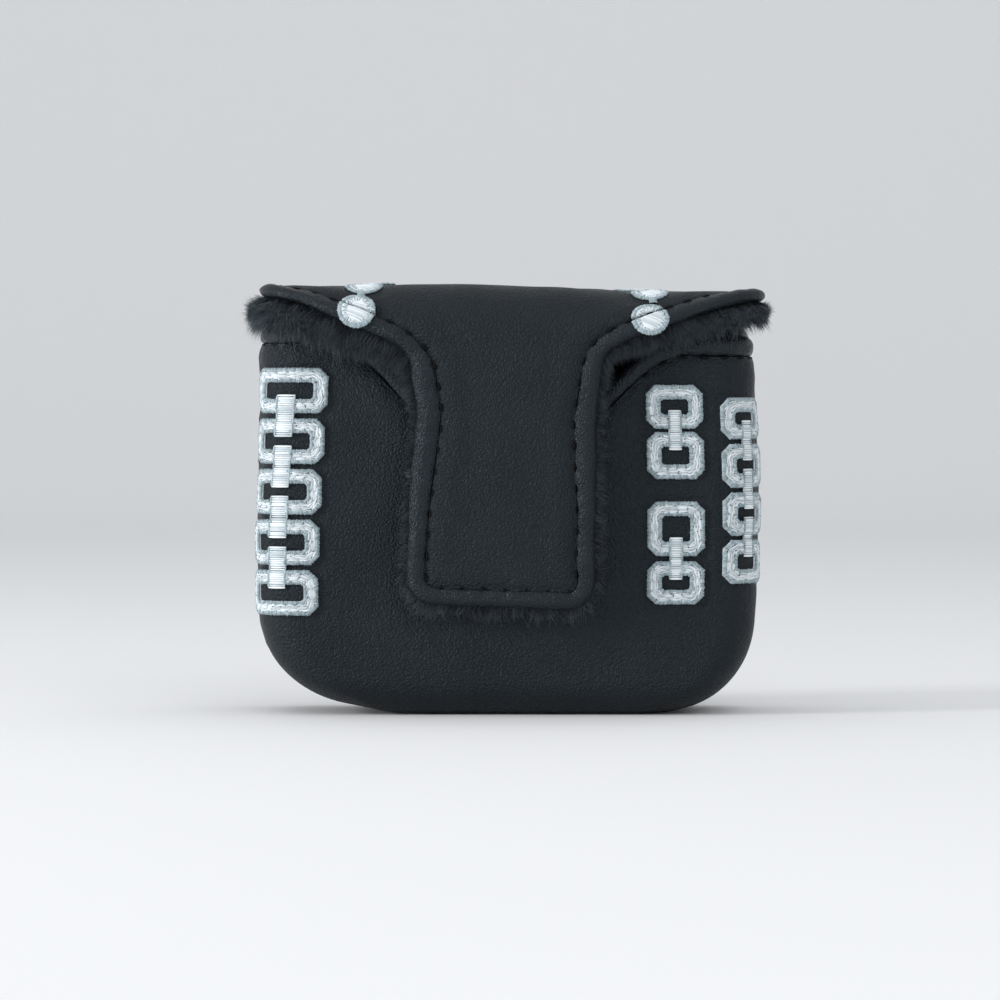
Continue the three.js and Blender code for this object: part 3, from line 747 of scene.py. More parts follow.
def stitches(name, frames, out=-0.2, height=-0.3, length=3.0, radius=0.27):
    """Short threads lying in the ditch beside a binding, their ends drawn down into the leather."""
    run = frames["run"]
    first = math.ceil((run[0] + 0.4 * length) / STITCH_PITCH) * STITCH_PITCH
    middles = np.arange(first, run[-1] - 0.4 * length, STITCH_PITCH)
    share = np.linspace(-1, 1, 9)
    level = np.interp(middles, run, np.abs(frames["forward"][:, 0]) * (frames["point"][:, 2] < 40))
    at = middles[:, None] + share * (length * (1 - 0.62 * level) / 2)[:, None]
    pick = frames_at(frames, at)
    drop = height - 0.75 * np.abs(share) ** 4 + 0.16 * (1 - share**2)
    centres = pick["point"] + pick["out"] * out + pick["normal"] * drop[None, :, None]
    size = radius * np.broadcast_to(np.maximum(0.25, 1 - np.abs(share) ** 6), at.shape)
    points, quads = tubes(centres, pick["out"], pick["normal"], size, size, 9)
    return piece(name, points, [quads], [black_thread])


# ---- Embroidery ----


def on_pouch(a, b, height):
    seam = np.abs(np.abs(a) - SEAM_U)
    return pouch(a, b, -(pouch_swell(a, b, seam, b) + height))


def on_flap(a, b, height):
    return flap(a, b, -(flap_waves(a, b) + height))


def threads(starts, ends, place, base, lift, radius, seed, sides=5, rings=7):
    """Flattened threads from starts to ends, in developed coordinates, arched over the fabric."""
    draw = np.random.default_rng(seed)
    count = len(starts)
    t = np.linspace(0, 1, rings)
    line = lerp(starts[:, None], ends[:, None], t[None, :, None])
    direction = unit(ends - starts)
    across = np.stack([-direction[:, 1], direction[:, 0]], -1)
    line = line + across[:, None] * (draw.normal(0, 0.03, (count, 1, 1)))
    arch = base + lift * np.sin(math.pi * clip(t, 0.02, 0.98)) ** 0.55
    arch = arch + draw.normal(0, 0.025, (count, 1))
    size = radius * (0.75 + 0.25 * np.sin(math.pi * t)) * draw.uniform(0.9, 1.12, (count, 1))
    turn = full_turn(sides)
    flat = line[:, :, None] + across[:, None, None] * (size[..., None] * np.cos(turn))[..., None]
    height = arch[..., None] + 0.62 * size[..., None] * np.sin(turn)
    points = place(flat[..., 0].ravel(), flat[..., 1].ravel(), height.ravel())
    tones = np.repeat(draw.uniform(0, 1, count), rings * sides)
    return points, tube_quads(count, rings, sides), tones


def underlay(rows):
    """The points, quads and tones of a plain ring under the threads, from rows of points round it."""
    quads = grid_quads(len(rows), len(rows[0]), wrap=True)
    return np.vstack(rows), quads, np.full(len(rows) * len(rows[0]), 0.5)


def sewn(name, parts, *materials):
    """One piece from several parts, each (points, quads, tones, number of its material)."""
    points, quads, tones, numbers, total = [], [], [], [], 0
    for p, q, t, number in parts:
        points.append(p)
        quads.append(q + total)
        tones.append(t)
        numbers.append(np.full(len(q), number))
        total += len(p)
    tones, numbers = np.hstack(tones), np.hstack(numbers)
    return piece(name, np.vstack(points), [np.vstack(quads)], materials, tones, numbers)


def loop_points(wide, tall, chamfer, count):
    """A chamfered rectangle's outline, its corners at the same share of the way as any other's."""
    w, h = wide / 2, tall / 2
    corners = [(w, h - chamfer), (w - chamfer, h), (chamfer - w, h), (-w, h - chamfer)]
    corners += [(-x, -y) for x, y in corners]
    ring = closed(np.array(corners))
    at = np.linspace(0, len(corners), count, endpoint=False)
    return read_at(at, np.arange(len(ring)), ring)


def link_threads(u, z, wide, tall, seed):
    """One embroidered link: rows of white fill, needle pits, a grey outline and an underlay."""
    count = 160
    outside = loop_points(wide, tall, 2.2, count)
    inside = loop_points(wide - 2 * MOTIF_STROKE, tall - 2 * MOTIF_STROKE, 0.6, count)
    run = run_along(closed(lerp(outside, inside, 0.4)))
    draw = np.random.default_rng(seed)

    def at(pitch):
        """Points of the outer and the inner edge, a pitch apart."""
        index = np.interp(np.arange(0, run[-1], pitch), run, np.arange(count + 1)) % count
        edges = closed(outside), closed(inside)
        return tuple(read_at(index, np.arange(count + 1), edge) + [u, z] for edge in edges)

    starts, ends = [], []
    for row, share in enumerate(np.linspace(0.2, 0.8, 7)):
        far, near = at(0.31)
        line = lerp(far, near, share)
        cuts = np.arange(int(draw.integers(0, 5)), len(line), 8 + row % 2)
        starts.append(line[cuts])
        ends.append(line[np.append(cuts[1:], cuts[0])])
    starts, ends = np.vstack(starts), np.vstack(ends)
    gap = unit(ends - starts) * 0.06
    parts = [(*threads(starts + gap, ends - gap, on_pouch, 0.5, 0.2, THREAD, seed, rings=8), 0)]
    pick = draw.choice(len(starts), len(starts) // 8, replace=False)
    far, near = at(0.85)
    spot = np.vstack([starts[pick], lerp(far, near, 0.26), lerp(far, near, 0.76)])
    spot = spot + draw.normal(0, 0.09, spot.shape)
    step = np.array([0.17, 0.05])
    parts.append((*threads(spot - step, spot + step, on_pouch, 0.62, 0.02, 0.12, seed + 3, rings=4), 2))
    # the grey outline: short strokes over the outer edge, then over the inner one
    for inner, pitch, shortest, longest, past in ((0, 0.3, 0.85, 1.25, 0.22), (1, 0.52, 0.8, 1.15, 0.18)):
        rim, other = at(pitch)[:: -1 if inner else 1]
        stroke = unit(other - rim)
        reach = draw.uniform(shortest, longest, (len(rim), 1))
        over = draw.uniform(-0.05, past, (len(rim), 1))
        ends = rim - stroke * over, rim + stroke * reach
        parts.append((*threads(*ends, on_pouch, 0.44, 0.42, 0.2, seed + 1 + inner), 1))
    levels = ((0.0, -0.1), (0.0, 0.34), (0.5, 0.42), (1.0, 0.34), (1.0, -0.1))
    under = [on_pouch(*(lerp(outside, inside, share) + [u, z]).T, np.full(count, h)) for share, h in levels]
    return [*parts, (*underlay(under), 0)]


def tie_threads(upper, lower, seed):
    """A satin bar from one link to the next one down, with a grey thread along each side."""
    reach = MOTIF_STROKE + 0.9
    top = upper[1] - upper[3] / 2 + reach
    end = lower[1] + lower[3] / 2 - reach
    half = upper[2] / 9
    z = np.arange(top, end, -BAR_PITCH)
    share = (top - z) / (top - end)
    middle = lerp(upper[0], lower[0], share)
    starts = np.stack([middle - half, z], -1)
    ends = np.stack([middle + half, z], -1)
    made = [(*threads(starts, ends, on_pouch, 0.6, 0.36, BAR_THREAD, seed, rings=9), 0)]
    for side in (-1, 1):
        line = np.stack([middle + side * (half - 0.1), z], -1)
        made.append((*threads(line[:-2:2], line[2::2], on_pouch, 0.78, 0.2, 0.26, seed + 1, rings=5), 1))
    return made


def embroidered_chain(name, links, seed):
    parts = []
    for i, link in enumerate(links):
        parts += link_threads(*link, seed + 10 * i)
        if i:
            parts += tie_threads(links[i - 1], link, seed + 10 * i + 5)
    return sewn(name, parts, white_thread, grey_thread, black_thread)


def bead_threads(x, s, place, seed, rings=8):
    """A round of embroidery: a grey rim, a mixed ring and a bright middle set to one side."""
    draw = np.random.default_rng(seed)
    middle = np.array([x, s])
    parts = []

    def radial(inner, outer, pitch, base, lift, number, seed_step):
        count = int(2 * math.pi * outer / pitch)
        turn = full_turn(count)
        way = np.stack([np.cos(turn), np.sin(turn)], -1)
        low = inner + draw.uniform(-0.2, 0.2, (count, 1))
        high = outer + draw.uniform(-0.16, 0.1, (count, 1))
        ends = middle + way * low, middle + way * high
        made = threads(*ends, place, base, lift, THREAD, seed + seed_step, rings=rings)
        parts.append((*made, number))

    radial(3.7, BEAD_RADIUS, 0.3, 0.3, 0.36, 1, 1)
    radial(2.3, 4.0, 0.42, 0.36, 0.32, 0, 2)
    radial(2.6, 3.7, 0.9, 0.42, 0.34, 1, 3)
    core, tilt = 2.95, math.radians(24)
    ahead = np.array([math.cos(tilt), math.sin(tilt)])
    beside = np.array([-ahead[1], ahead[0]])
    offset = np.arange(0.1 - core, core, 0.32)[:, None]
    reach = np.sqrt(core**2 - offset**2)
    centre = middle + [0.45, 0.5] + beside * offset
    ends = centre - ahead * reach, centre + ahead * reach
    made = threads(*ends, place, 0.55, 0.34, 0.22, seed + 4, rings=2 * rings)
    parts.append((*made, 0))
    turn = full_turn(48)
    radii = np.append(np.linspace(0.1, 4.5, 14), 4.75)
    levels = np.interp(radii, (0, 2.6, 4.5, 4.75), (0.45, 0.42, 0.3, -0.3))
    ring = np.stack([np.cos(turn), np.sin(turn)])
    under = [place(x + r * ring[0], s + r * ring[1], np.full(len(turn), h)) for r, h in zip(radii, levels)]
    return [*parts, (*underlay(under), 1)]


def bead_link(x, start, end, place, seed, lean=0.0):
    """The short satin bar between two beads."""
    s = np.arange(start, end, 0.32)
    middle = x + lean * (s - start)
    starts, ends = np.stack([middle - 1.05, s], -1), np.stack([middle + 1.05, s], -1)
    return [(*threads(starts, ends, place, 0.4, 0.42, THREAD, seed), 1)]


# ---- Fur ----


def clumped(roots, spacing, seed):
    """For each root, the middle of the clump that it belongs to."""
    draw = np.random.default_rng(seed)
    count = max(4, int(len(roots) / spacing))
    middles = roots[draw.choice(len(roots), count, replace=False)]
    nearest, _ = nearest_of(middles, roots)
    return middles[nearest], nearest


def strands(
    name, roots, ways, lengths, seed, width=0.24, curl=0.9, gather=0.62, per_clump=22, droop=0.0, rise=99.0
):
    """Tapered, curling blades of pile in clumps, as one mesh."""
    draw = np.random.default_rng(seed)
    count = len(roots)
    middles, nearest = clumped(roots, per_clump, seed)
    clump_turn = draw.normal(0, 1, (nearest.max() + 1, 3))[nearest]
    bend = unit(clump_turn - (clump_turn * ways).sum(1, keepdims=True) * ways)
    loose = draw.normal(0, 1, (count, 3))
    t = np.array([0, 0.36, 0.7, 1.0])
    wave = np.array([0, 0.16, -0.1, 0.06])
    along = ways[:, None] * (lengths[:, None] * t)[..., None]
    pull = (middles - roots)[:, None] * (gather * t**1.5)[None, :, None]
    sway = (bend[:, None] * curl + loose[:, None] * 0.13) * (lengths[:, None] * t**2)[..., None] * 0.5
    sway = sway + bend[:, None] * (curl * lengths[:, None] * wave)[..., None]
    fall = (droop * lengths)[:, None] * t**2
    line = roots[:, None] + along + pull + sway - fall[..., None] * np.array([0, 0, 1.0])
    line[..., 2] = np.minimum(line[..., 2], roots[:, None, 2] + rise)
    face = unit(np.cross(ways, loose))
    half = (width / 2) * np.array([1.0, 0.95, 0.65])
    left = line[:, :3] - face[:, None] * half[None, :, None]
    right = line[:, :3] + face[:, None] * half[None, :, None]
    points = np.concatenate([left, right, line[:, 3:]], axis=1)
    start = np.arange(count)[:, None] * 7
    quads = np.concatenate([start + [0, 3, 4, 1], start + [1, 4, 5, 2]])
    tris = start + [2, 5, 6]
    clump_shade = draw.normal(0, 1, nearest.max() + 1)[nearest]
    shade = clip(0.48 + 0.3 * clump_shade + 0.1 * loose[:, 0], 0, 0.95)
    # painted shade: each blade is darker towards its root, deep in the pile, and lighter towards its tip
    tones = np.broadcast_to(shade[:, None] * np.array([0.5, 0.75, 1, 0.5, 0.75, 1, 1.15]), (count, 7))
    return piece(name, points.reshape(-1, 3), [quads, tris], [fur], tones.ravel())


def fringe(
    name, frames, density, reach, seed, depth, inset=(-2.0, 3.5), dip=0.2, droop=0.3, lean=0.0, taper=0.0
):
    """Pile that sticks out from behind a binding. density is in blades per mm, reach is how far past
    the binding the tips come, in mm, and taper is how much shorter the deepest rooted ones are."""
    draw = np.random.default_rng(seed)
    run = frames["run"]
    stops = np.linspace(0, run[-1], 400)
    weight = np.interp(stops, run, density)
    total = int(weight.mean() * run[-1])
    at = np.interp(draw.uniform(0, 1, total), np.cumsum(weight) / weight.sum(), stops)
    pick = frames_at(frames, at)
    in_by = draw.uniform(*inset, total)[:, None]
    deep = draw.uniform(*depth, total)[:, None]
    roots = pick["point"] + pick["out"] * in_by - pick["normal"] * deep
    slant = draw.normal(0, 0.22, (total, 1))
    outward = np.sign(pick["point"][:, :1]) * np.array([1.0, 0, 0])
    dip = dip + draw.normal(0, 0.12, (total, 1))
    ways = unit(pick["out"] + pick["forward"] * slant - pick["normal"] * dip + lean * outward)
    width = np.interp(at, run, frames["width"])
    past = np.interp(at, run, reach) * draw.uniform(0.55, 1.15, total)
    share = (deep[:, 0] - depth[0]) / (depth[1] - depth[0])
    shorter = 1 - np.interp(at, run, taper * np.ones(len(run))) * share
    lengths = np.maximum(1.5, (width - in_by[:, 0] + past) * shorter)
    return strands(name, roots, ways, lengths, seed + 1, droop=droop * np.ones(total), rise=1.6)


# ---- Materials ----


def feed(tree, node, **inputs):
    """Sets a node's inputs by name, to values or to other nodes' outputs."""
    for name, value in inputs.items():
        socket = node.inputs[name.replace("_", " ")]
        if isinstance(value, bpy.types.NodeSocket):
            tree.links.new(value, socket)
        else:
            socket.default_value = value
    return node


def added(tree, kind, **inputs):
    return feed(tree, tree.nodes.new(f"ShaderNode{kind}"), **inputs)


def attribute(tree, name):
    node = added(tree, "Attribute")
    node.attribute_name = name
    return node.outputs


def new_material(name, **constants):
    """A material with its tree, its shader and the places at rest that its patterns follow."""
    material = bpy.data.materials.new(name)
    material.use_nodes = True
    tree = material.node_tree
    shader = feed(tree, tree.nodes["Principled BSDF"], **constants)
    return material, tree, shader, attribute(tree, REST)["Vector"]


def noise(tree, vector, scale, detail=3.0, rough=0.5):
    return added(tree, "TexNoise", Vector=vector, Scale=scale, Detail=detail, Roughness=rough).outputs


def ramp(tree, value, stops):
    node = added(tree, "ValToRGB", Fac=value)
    elements = node.color_ramp.elements
    while len(elements) < len(stops):
        elements.new(0.5)
    for element, (at, colour) in zip(elements, stops):
        element.position = at
        element.color = (*colour, 1)
    return node.outputs["Color"]


def maths(tree, operation, *values):
    node = added(tree, "Math")
    node.operation = operation
    for socket, value in zip(node.inputs, values):
        if isinstance(value, bpy.types.NodeSocket):
            tree.links.new(value, socket)
        else:
            socket.default_value = value
    return node.outputs[0]


def mixed(tree, blend, share, first, second):
    node = added(tree, "MixRGB", Fac=share, Color1=first, Color2=second)
    node.blend_type = blend
    return node.outputs[0]


def bumped(tree, height, depth):
    """A normal for relief that is depth mm high."""
    return added(tree, "Bump", Height=height, Distance=depth * MM, Strength=1.0).outputs["Normal"]


def leather_material(name, dark, light, roughness, grain, depth, level):
    """Pebbled leather: rounded cells about a millimetre across, with fine pores between."""
    blue = (0.76, 0.9, 1.0, 1.0)
    material, tree, shader, rest = new_material(name, Specular_IOR_Level=level, Specular_Tint=blue)
    warp = noise(tree, rest, 0.55, 2)["Color"]
    cells = added(tree, "TexVoronoi")
    cells.feature = "SMOOTH_F1"
    feed(tree, cells, Vector=mixed(tree, "LINEAR_LIGHT", 0.35, rest, warp), Scale=grain, Smoothness=0.3)
    pebbles = maths(tree, "SUBTRACT", 1.0, cells.outputs["Distance"])
    pores = maths(tree, "MULTIPLY", noise(tree, rest, 3.4, 2, 0.6)["Fac"], 0.55)
    colour = ramp(tree, noise(tree, rest, 0.045, 4, 0.6)["Fac"], [(0.3, dark), (0.7, light)])
    # painted shade: the base colour is darker in the hollows between the pebbles and lighter on their
    # crests
    pebble_hollow_shade = ramp(tree, pebbles, [(0.35, (0.45, 0.45, 0.45)), (0.75, (1, 1, 1))])
    shine = maths(tree, "MULTIPLY", noise(tree, rest, 0.12, 3)["Fac"], 0.22)
    feed(
        tree,
        shader,
        Base_Color=mixed(tree, "MULTIPLY", 0.35, colour, pebble_hollow_shade),
        Roughness=maths(tree, "ADD", shine, roughness - 0.11),
        Normal=bumped(tree, maths(tree, "ADD", pebbles, pores), depth),
    )
    return material


def tone_material(name, dark, light, roughness, **constants):
    """A fibre whose colour varies from strand to strand by the mesh's tone attribute."""
    material, tree, shader, rest = new_material(name, **constants)
    speck = noise(tree, rest, 3.0, 2)["Fac"]
    tone = maths(tree, "ADD", attribute(tree, TONE)["Fac"], maths(tree, "MULTIPLY", speck, 0.3))
    rough = maths(tree, "ADD", maths(tree, "MULTIPLY", speck, 0.16), roughness - 0.08)
    feed(tree, shader, Base_Color=ramp(tree, tone, [(0.15, dark), (1.0, light)]), Roughness=rough)
    return material


def speckled_material(name, dark, light, roughness, scale, depth, **constants):
    material, tree, shader, rest = new_material(name, Roughness=roughness, **constants)
    grain = noise(tree, rest, scale, 5, 0.65)["Fac"]
    colour = ramp(tree, grain, [(0.3, dark), (0.7, light)])
    feed(tree, shader, Base_Color=colour, Normal=bumped(tree, grain, depth))
    return material


leather_colours = (0.0056, 0.0077, 0.0098), (0.009, 0.0118, 0.0144)
leather = leather_material("leather", *leather_colours, 0.45, 1.65, 0.33, 0.27)
roll_colours = (0.0046, 0.0064, 0.0083), (0.0075, 0.01, 0.0124)
roll_leather = leather_material("roll_leather", *roll_colours, 0.31, 1.9, 0.26, 0.34)
foam = speckled_material("foam", (0.018, 0.02, 0.022), (0.04, 0.044, 0.048), 0.95, 1.6, 0.3)
backing = speckled_material("fur_backing", (0.003, 0.004, 0.005), (0.012, 0.015, 0.019), 0.9, 0.8, 0.8)
fur = tone_material(
    "fur",
    (0.0028, 0.0038, 0.005),
    (0.052, 0.064, 0.076),
    0.52,
    Sheen_Weight=0.28,
    Sheen_Tint=(0.78, 0.9, 1.0, 1.0),
    Specular_Tint=(0.8, 0.92, 1.0, 1.0),
)
white_thread = tone_material("white_thread", (0.52, 0.59, 0.63), (0.8, 0.86, 0.89), 0.42, Sheen_Weight=0.3)
grey_thread = tone_material("grey_thread", (0.2, 0.27, 0.3), (0.4, 0.49, 0.53), 0.4, Sheen_Weight=0.3)
black_colours = (0.0012, 0.0013, 0.0015), (0.004, 0.0045, 0.005)
black_thread = speckled_material("black_thread", *black_colours, 0.75, 4.0, 0.05, Specular_IOR_Level=0.15)
metal_colours = (0.5, 0.51, 0.52), (0.62, 0.63, 0.64)
magnet_metal = speckled_material("magnet_metal", *metal_colours, 0.28, 0.6, 0.01, Metallic=1.0)

# ---- The pieces ----


def finished(obj, where, slot, *nodes):
    """Attaches a cover piece to the cover's body, bakes any other piece's place into its points, and hides
    the CAD nodes that it stands for; slot is not used.
    """
    if where == "cover":
        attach(obj, "cover")
    elif where == "back":
        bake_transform(obj)
    elif where == "corner":
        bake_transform(obj)
    else:
        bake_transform(obj)
    if nodes:
        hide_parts(*nodes)
    return obj


# Leather
front_leather = front_layer("front_leather", LEATHER, leather, True)
finished(front_leather, "cover", "leather", "front_panel")
back_leather, *corner_leathers = back_layer("back_leather", LEATHER, leather, True)
finished(back_leather, "back", "leather", "back_panel")
flap_leather = flap_layer("flap_leather", LEATHER, leather, True)
finished(flap_leather, "front", "leather", "top_leather", "tongue_leather")

# Foam, with a pocket for each magnet
POCKET_RADIUS = MAGNET_RADIUS + 1.2
tongue_pockets, pouch_pockets = (
    [
        (*(np.array(sum(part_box(f"{place}_magnet_{side}"), Vector()) / 2)[[0, 2]] / MM), POCKET_RADIUS)
        for side in ("left", "right")
    ]
    for place in ("tongue", "pouch")
)
front_foam = front_layer("front_foam", POUCH_PADDING, foam, False, pouch_pockets)
finished(front_foam, "cover", "padding", "front_padding")
back_foam, *corner_foams = back_layer("back_foam", POUCH_PADDING, foam, False)
finished(back_foam, "back", "padding", "back_padding")
flap_foam = flap_layer("flap_foam", FLAP_PADDING, foam, False, tongue_pockets)
finished(flap_foam, "front", "padding", "top_padding", "tongue_padding")

# The fur's backing
front_lining = front_layer("front_fur_cloth", POUCH_LINING, backing, False)
finished(front_lining, "cover", "fur", "front_lining")
back_lining, *corner_linings = back_layer("back_fur_cloth", FLAP_LINING, backing, False)
finished(back_lining, "back", "fur", "back_lining")
for corners, slot in ((corner_leathers, "leather"), (corner_foams, "padding"), (corner_linings, "fur")):
    for corner in corners:
        finished(corner, "corner", slot)
flap_lining = flap_layer("flap_fur_cloth", FLAP_LINING, backing, False)
finished(flap_lining, "front", "fur", "top_lining", "tongue_lining")

# Bindings: how far they reach down from the leather's face, and their widths
TOP_ROLL, TONGUE_ROLL, MOUTH_ROLL = 3.1, 3.9, 6.2
from_end = np.minimum(MOUTH["run"], MOUTH["run"][-1] - MOUTH["run"])
MOUTH["thick"] = lerp(TOP_ROLL, MOUTH_ROLL, ease((from_end - 22) / 25))
MOUTH["width"] = mouth_width(MOUTH)
TONGUE["width"] = tongue_width(TONGUE)
TONGUE["thick"] = lerp(TOP_ROLL, TONGUE_ROLL, ease((108 - TONGUE["point"][:, 2]) / 12))
EDGE_PARTS = [
    ("side", "left", part_of(MOUTH, 0, LEFT_FOLD), "back", ["top_{}_left"]),
    ("corner", "left", part_of(MOUTH, LEFT_FOLD, LEFT_SEAM), "corner", []),
    ("corner", "right", part_of(MOUTH, RIGHT_SEAM, RIGHT_FOLD), "corner", []),
    ("side", "right", part_of(MOUTH, RIGHT_FOLD, len(MOUTH["run"]) - 1), "back", ["top_{}_right"]),
]


def bound(name, frames, where, seed, *nodes):
    """An edge's binding and the topstitch beside it, for CAD nodes that share a pattern of name."""
    roll = binding(name.format("roll"), frames, seed)
    finished(roll, where, "binding", *(node.format("binding") for node in nodes))
    thread = stitches(name.format("stitches"), frames)
    finished(thread, where, "black_thread", *(node.format("topstitch") for node in nodes))


for kind, word, part, where, nodes in EDGE_PARTS:
    bound(f"{kind}_{{}}_{word}", part, where, 40, *nodes)
mouth_front = part_of(MOUTH, LEFT_SEAM, RIGHT_SEAM)
bound("mouth_{}", mouth_front, "cover", 40, "mouth_{}")
bound("tongue_{}", TONGUE, "front", 50, "tongue_{}")


def restarted(part):
    return {**part, "run": part["run"] - part["run"][0]}


# Embroidery
for number, (name, links) in enumerate(CHAINS.items()):
    chain = embroidered_chain(f"{name}_threads", links, 100 + 100 * number)
    finished(chain, "cover", "white_thread", name)


def over_binding(a, b, height):
    """The flap's face where the embroidery runs over the binding and is drawn into the ditch."""
    edge, _ = edge_distance(a, b)
    return flap(a, b, -(flap_waves(a, b) + 0.75 - 2.0 * bell(edge, 0.34) + height))


FRONT_BEADS = {"left": (-CHAIN_X - 0.4, FRONT_BEAD_S + 0.1), "right": (CHAIN_X - 1.5, FRONT_BEAD_S + 1.7)}
for side, word in ((-1, "left"), (1, "right")):
    made = bead_threads(*FRONT_BEADS[word], over_binding, 600 + side, rings=22)
    bead = sewn(f"front_bead_{word}_threads", made, white_thread, grey_thread)
    finished(bead, "front", "white_thread", f"front_bead_{word}")

    centres = [FRONT_BEAD_S - BEAD_PITCH * (i + 1) for i in range(4)]
    for part_name, own, where, nodes in (
        ("front_chain", centres[:2], "front", []),
        ("top_chain", centres[2:], "back", [f"bead_chain_{word}"]),
    ):
        parts = []
        for i, centre in enumerate(own):
            parts += bead_threads(side * chain_line(centre), centre, on_flap, 700 + 10 * i + side)
            start = centre + BEAD_RADIUS - 0.4
            end = centre + BEAD_PITCH - BEAD_RADIUS + 0.4
            parts += bead_link(side * chain_line(start), start, end, on_flap, 800 + i, side * CHAIN_DRAW_IN)
        chain = sewn(f"{part_name}_{word}_threads", parts, white_thread, grey_thread)
        finished(chain, where, "white_thread", *nodes)

# Magnets
for place in ("tongue", "pouch"):
    for side in ("left", "right"):
        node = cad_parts[f"{place}_magnet_{side}"]
        node.data.materials.clear()
        node.data.materials.append(magnet_metal)

# Fur at the edges and on the linings
tongue_x, tongue_y, tongue_z = TONGUE["point"].T
shoulder = (tongue_z > 88) & (tongue_y < -20)
shoulder = np.convolve(shoulder.astype(float), np.ones(21) / 21, "same")
top_side = ease((tongue_y + 24) / 10)
at_tip = ease((36 - tongue_z) / 5)
tongue_reach = lerp(lerp(2.1, 1.2, at_tip), np.where(tongue_x < 0, 3.6, 1.3), shoulder)
tongue_reach = lerp(tongue_reach, np.where(tongue_x < 0, 3.0, 1.5), top_side)
tongue_density = lerp(48.0, 140.0, np.maximum(shoulder, top_side))
RIGHT_TAPER = 0.5  # the tuft at the flap's right-hand corner narrows downwards
taper = RIGHT_TAPER * top_side * (tongue_x > 0)
tongue_fringe = fringe(
    "tongue_fringe", TONGUE, tongue_density, tongue_reach, 901, (3.9, 7.0), lean=0.3, taper=taper
)
finished(tongue_fringe, "front", "fur")
for number, (kind, word, part, where, _) in enumerate(EDGE_PARTS):
    part = restarted(part)
    even = np.ones(len(part["run"]))
    deep, dip = ((3.4, 7.6), 0.03) if kind == "side" else ((4.8, 8.0), 0.2)
    reach = (1.8 if word == "left" else 0.7) * even
    taper = RIGHT_TAPER if word == "right" else 0.0
    seed = 911 + 5 * number
    made = fringe(f"{kind}_fringe_{word}", part, 110.0 * even, reach, seed, deep, dip=dip, taper=taper)
    finished(made, where, "fur")
mouth_x = mouth_front["point"][:, 0]
wide_open = bell(np.abs(mouth_x + 6) - 48, 26)
density = lerp(40.0, 120.0, wide_open)
reach = lerp(1.2, np.where(mouth_x < 0, 2.2, 1.2), wide_open) + 2.2 * ease((np.abs(mouth_x) - 58) / 4)
mouth_fringe = fringe(
    "mouth_fringe", restarted(mouth_front), density, reach, 931, (6.6, 10.5), (-2.0, 3.0), droop=0.1
)
finished(mouth_fringe, "cover", "fur")


def pile_on(name, sample, count, seed, where, spread=0.3, **habit):
    """Pile standing on a lining: sample gives each root, its way and its length."""
    draw = np.random.default_rng(seed)
    roots, ways, lengths = sample(draw, count)
    ways = unit(unit(ways) + draw.normal(0, spread, ways.shape))
    obj = strands(name, roots, ways, lengths, seed + 1, width=0.3, **habit)
    return finished(obj, where, "fur")


def pouch_pile(first, last):
    """Pile on the pouch's lining, from the station first to last."""

    def sample(draw, count):
        u = draw.uniform(first, last, count)
        u = np.where(u > BACK_MIDDLE_U, u - 2 * BACK_MIDDLE_U, u)
        z = clip(leather_top(u) - draw.uniform(-1.0, 45.0, count), 30, ROLL_Z + 4.5)
        at = pouch(u, z, POUCH_LINING[1])
        return at, pouch(u, z, POUCH_LINING[1] + 1) - at + [0, 0, 0.5], draw.uniform(2.6, 4.0, count)

    return sample


def flap_pile(draw, count):
    """Pile on the flap's lining, combed towards the tip and short where the tongue lies on the pouch."""
    rows = np.append(np.arange(0, len(EDGE) - 8), np.full(6, len(EDGE) - 5))
    index = rows[draw.integers(0, len(rows), count)]
    x = EDGE[index, 0] * draw.uniform(-1, 1, count)
    s = EDGE[index, 1] + draw.uniform(-0.3, 0.3, count)
    at = flap(x, s, FLAP_LINING[1])
    inward = flap(x, s, FLAP_LINING[1] + 1) - at
    combed = flap(x + 0.25 * np.sign(x), s + 1, FLAP_LINING[1]) - at
    on_tongue = ease((s - 18) / 10)[:, None]
    ways = inward * lerp(1.0, 0.55, on_tongue) + combed * lerp(0.4, 1.0, on_tongue)
    lengths = draw.uniform(0.8, 1.25, count) * lerp(2.6, 1.9, on_tongue[:, 0])
    return at, ways, lengths


def back_flap_pile(draw, count):
    x = SIDE_X * draw.uniform(-1, 1, count)
    s = draw.uniform(BACK_FOLD_S, SPLIT_S, count)
    at = flap(x, s, FLAP_LINING[1])
    return at, flap(x, s, FLAP_LINING[1] + 1) - at, draw.uniform(2.2, 3.6, count)


pile_on("front_pile", pouch_pile(3 - SEAM_U, SEAM_U - 3), 11000, 941, "cover")
pile_on("back_pile", pouch_pile(CLIMB_TO, 2 * BACK_MIDDLE_U - CLIMB_TO), 13000, 951, "back")
left_corner = pouch_pile(2 * BACK_MIDDLE_U - CLIMB_TO, 2 * BACK_MIDDLE_U - SEAM_U - 1)
pile_on("left_corner_pile", left_corner, 2600, 953, "corner")
pile_on("right_corner_pile", pouch_pile(SEAM_U + 1, CLIMB_TO), 2600, 957, "corner")
pile_on("flap_pile", flap_pile, 30000, 961, "front", 0.22, curl=0.4, gather=0.3, per_clump=8)
pile_on("top_pile", back_flap_pile, 8000, 971, "back")

# ---- Studio ----

FLOOR_GREY = (0.86, 0.865, 0.87, 1)


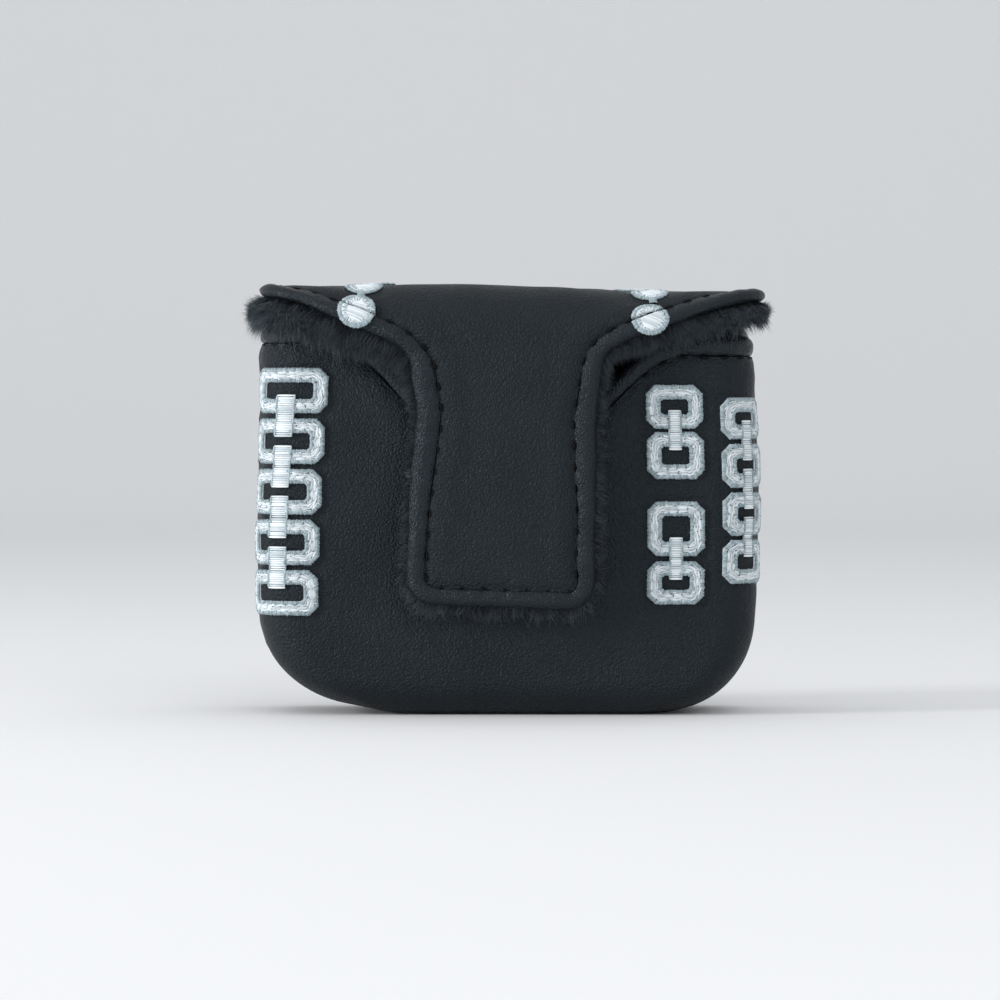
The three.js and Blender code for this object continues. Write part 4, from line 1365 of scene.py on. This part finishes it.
def studio_floor():
    """A pale floor that sweeps up into a backdrop well behind the object."""
    half, bend_from, bend, top = 4.0, 1.5, 0.9, 3.5
    turns = np.linspace(0, math.pi / 2, 25)
    profile = [(-half, 0.0), *((bend_from + bend * math.sin(a), bend * (1 - math.cos(a))) for a in turns)]
    profile.append((bend_from + bend, top))
    points = [(x, y, z - 0.0002) for y, z in profile for x in (-half, half)]
    mesh = bpy.data.meshes.new("floor")
    mesh.from_pydata(points, [], grid_quads(len(profile), 2).tolist())
    mesh.shade_smooth()
    material = bpy.data.materials.new("floor")
    material.use_nodes = True
    shader = material.node_tree.nodes["Principled BSDF"]
    feed(material.node_tree, shader, Base_Color=FLOOR_GREY, Roughness=0.9)
    mesh.materials.append(material)
    floor = linked("floor", mesh)


def aimed(obj, place, target):
    obj.location = place
    obj.rotation_euler = (Vector(target) - Vector(place)).to_track_quat("-Z", "Y").to_euler()


studio_floor()
# Soft lights: name, place and size in metres, and power in watts
for name, place, size, power in (
    ("key", (0.35, -1.2, 0.75), (0.9, 0.7), 3.6),
    ("left_edge", (-1.2, -0.45, 0.2), (0.3, 0.9), 15.0),
    ("top", (0, 0.1, 1.3), (1.2, 0.9), 2.2),
):
    lamp = bpy.data.lights.new(name, "AREA")
    lamp.shape = "RECTANGLE"
    lamp.size, lamp.size_y = size
    lamp.energy = power
    aimed(linked(name, lamp), place, (0, 0, 0.055))

scene = bpy.context.scene
scene.view_settings.view_transform = "Standard"
scene.view_settings.look = "None"
world = bpy.data.worlds.new("studio")
world.use_nodes = True
# pale, faintly blue light from all round
feed(world.node_tree, world.node_tree.nodes["Background"], Color=(0.95, 0.97, 1.0, 1), Strength=0.68)
scene.world = world

# The camera sees this much of the tongue's plane, in metres, about this place on it, from this
# far above level
VIEW_WIDTH = 0.2575
VIEW_X, VIEW_Z = -0.0018, 0.0561
ELEVATION = math.radians(1.5)
lens = bpy.data.cameras.new("camera")
lens.lens, lens.sensor_width = 200, 36
camera = linked("camera", lens)
scene.camera = camera
target = Vector((VIEW_X, (SHIFT_Y - TONGUE_FACE) * MM, VIEW_Z))
distance = VIEW_WIDTH / 2 / (lens.sensor_width / 2 / lens.lens)
aimed(camera, target + distance * Vector((0, -math.cos(ELEVATION), math.sin(ELEVATION))), target)
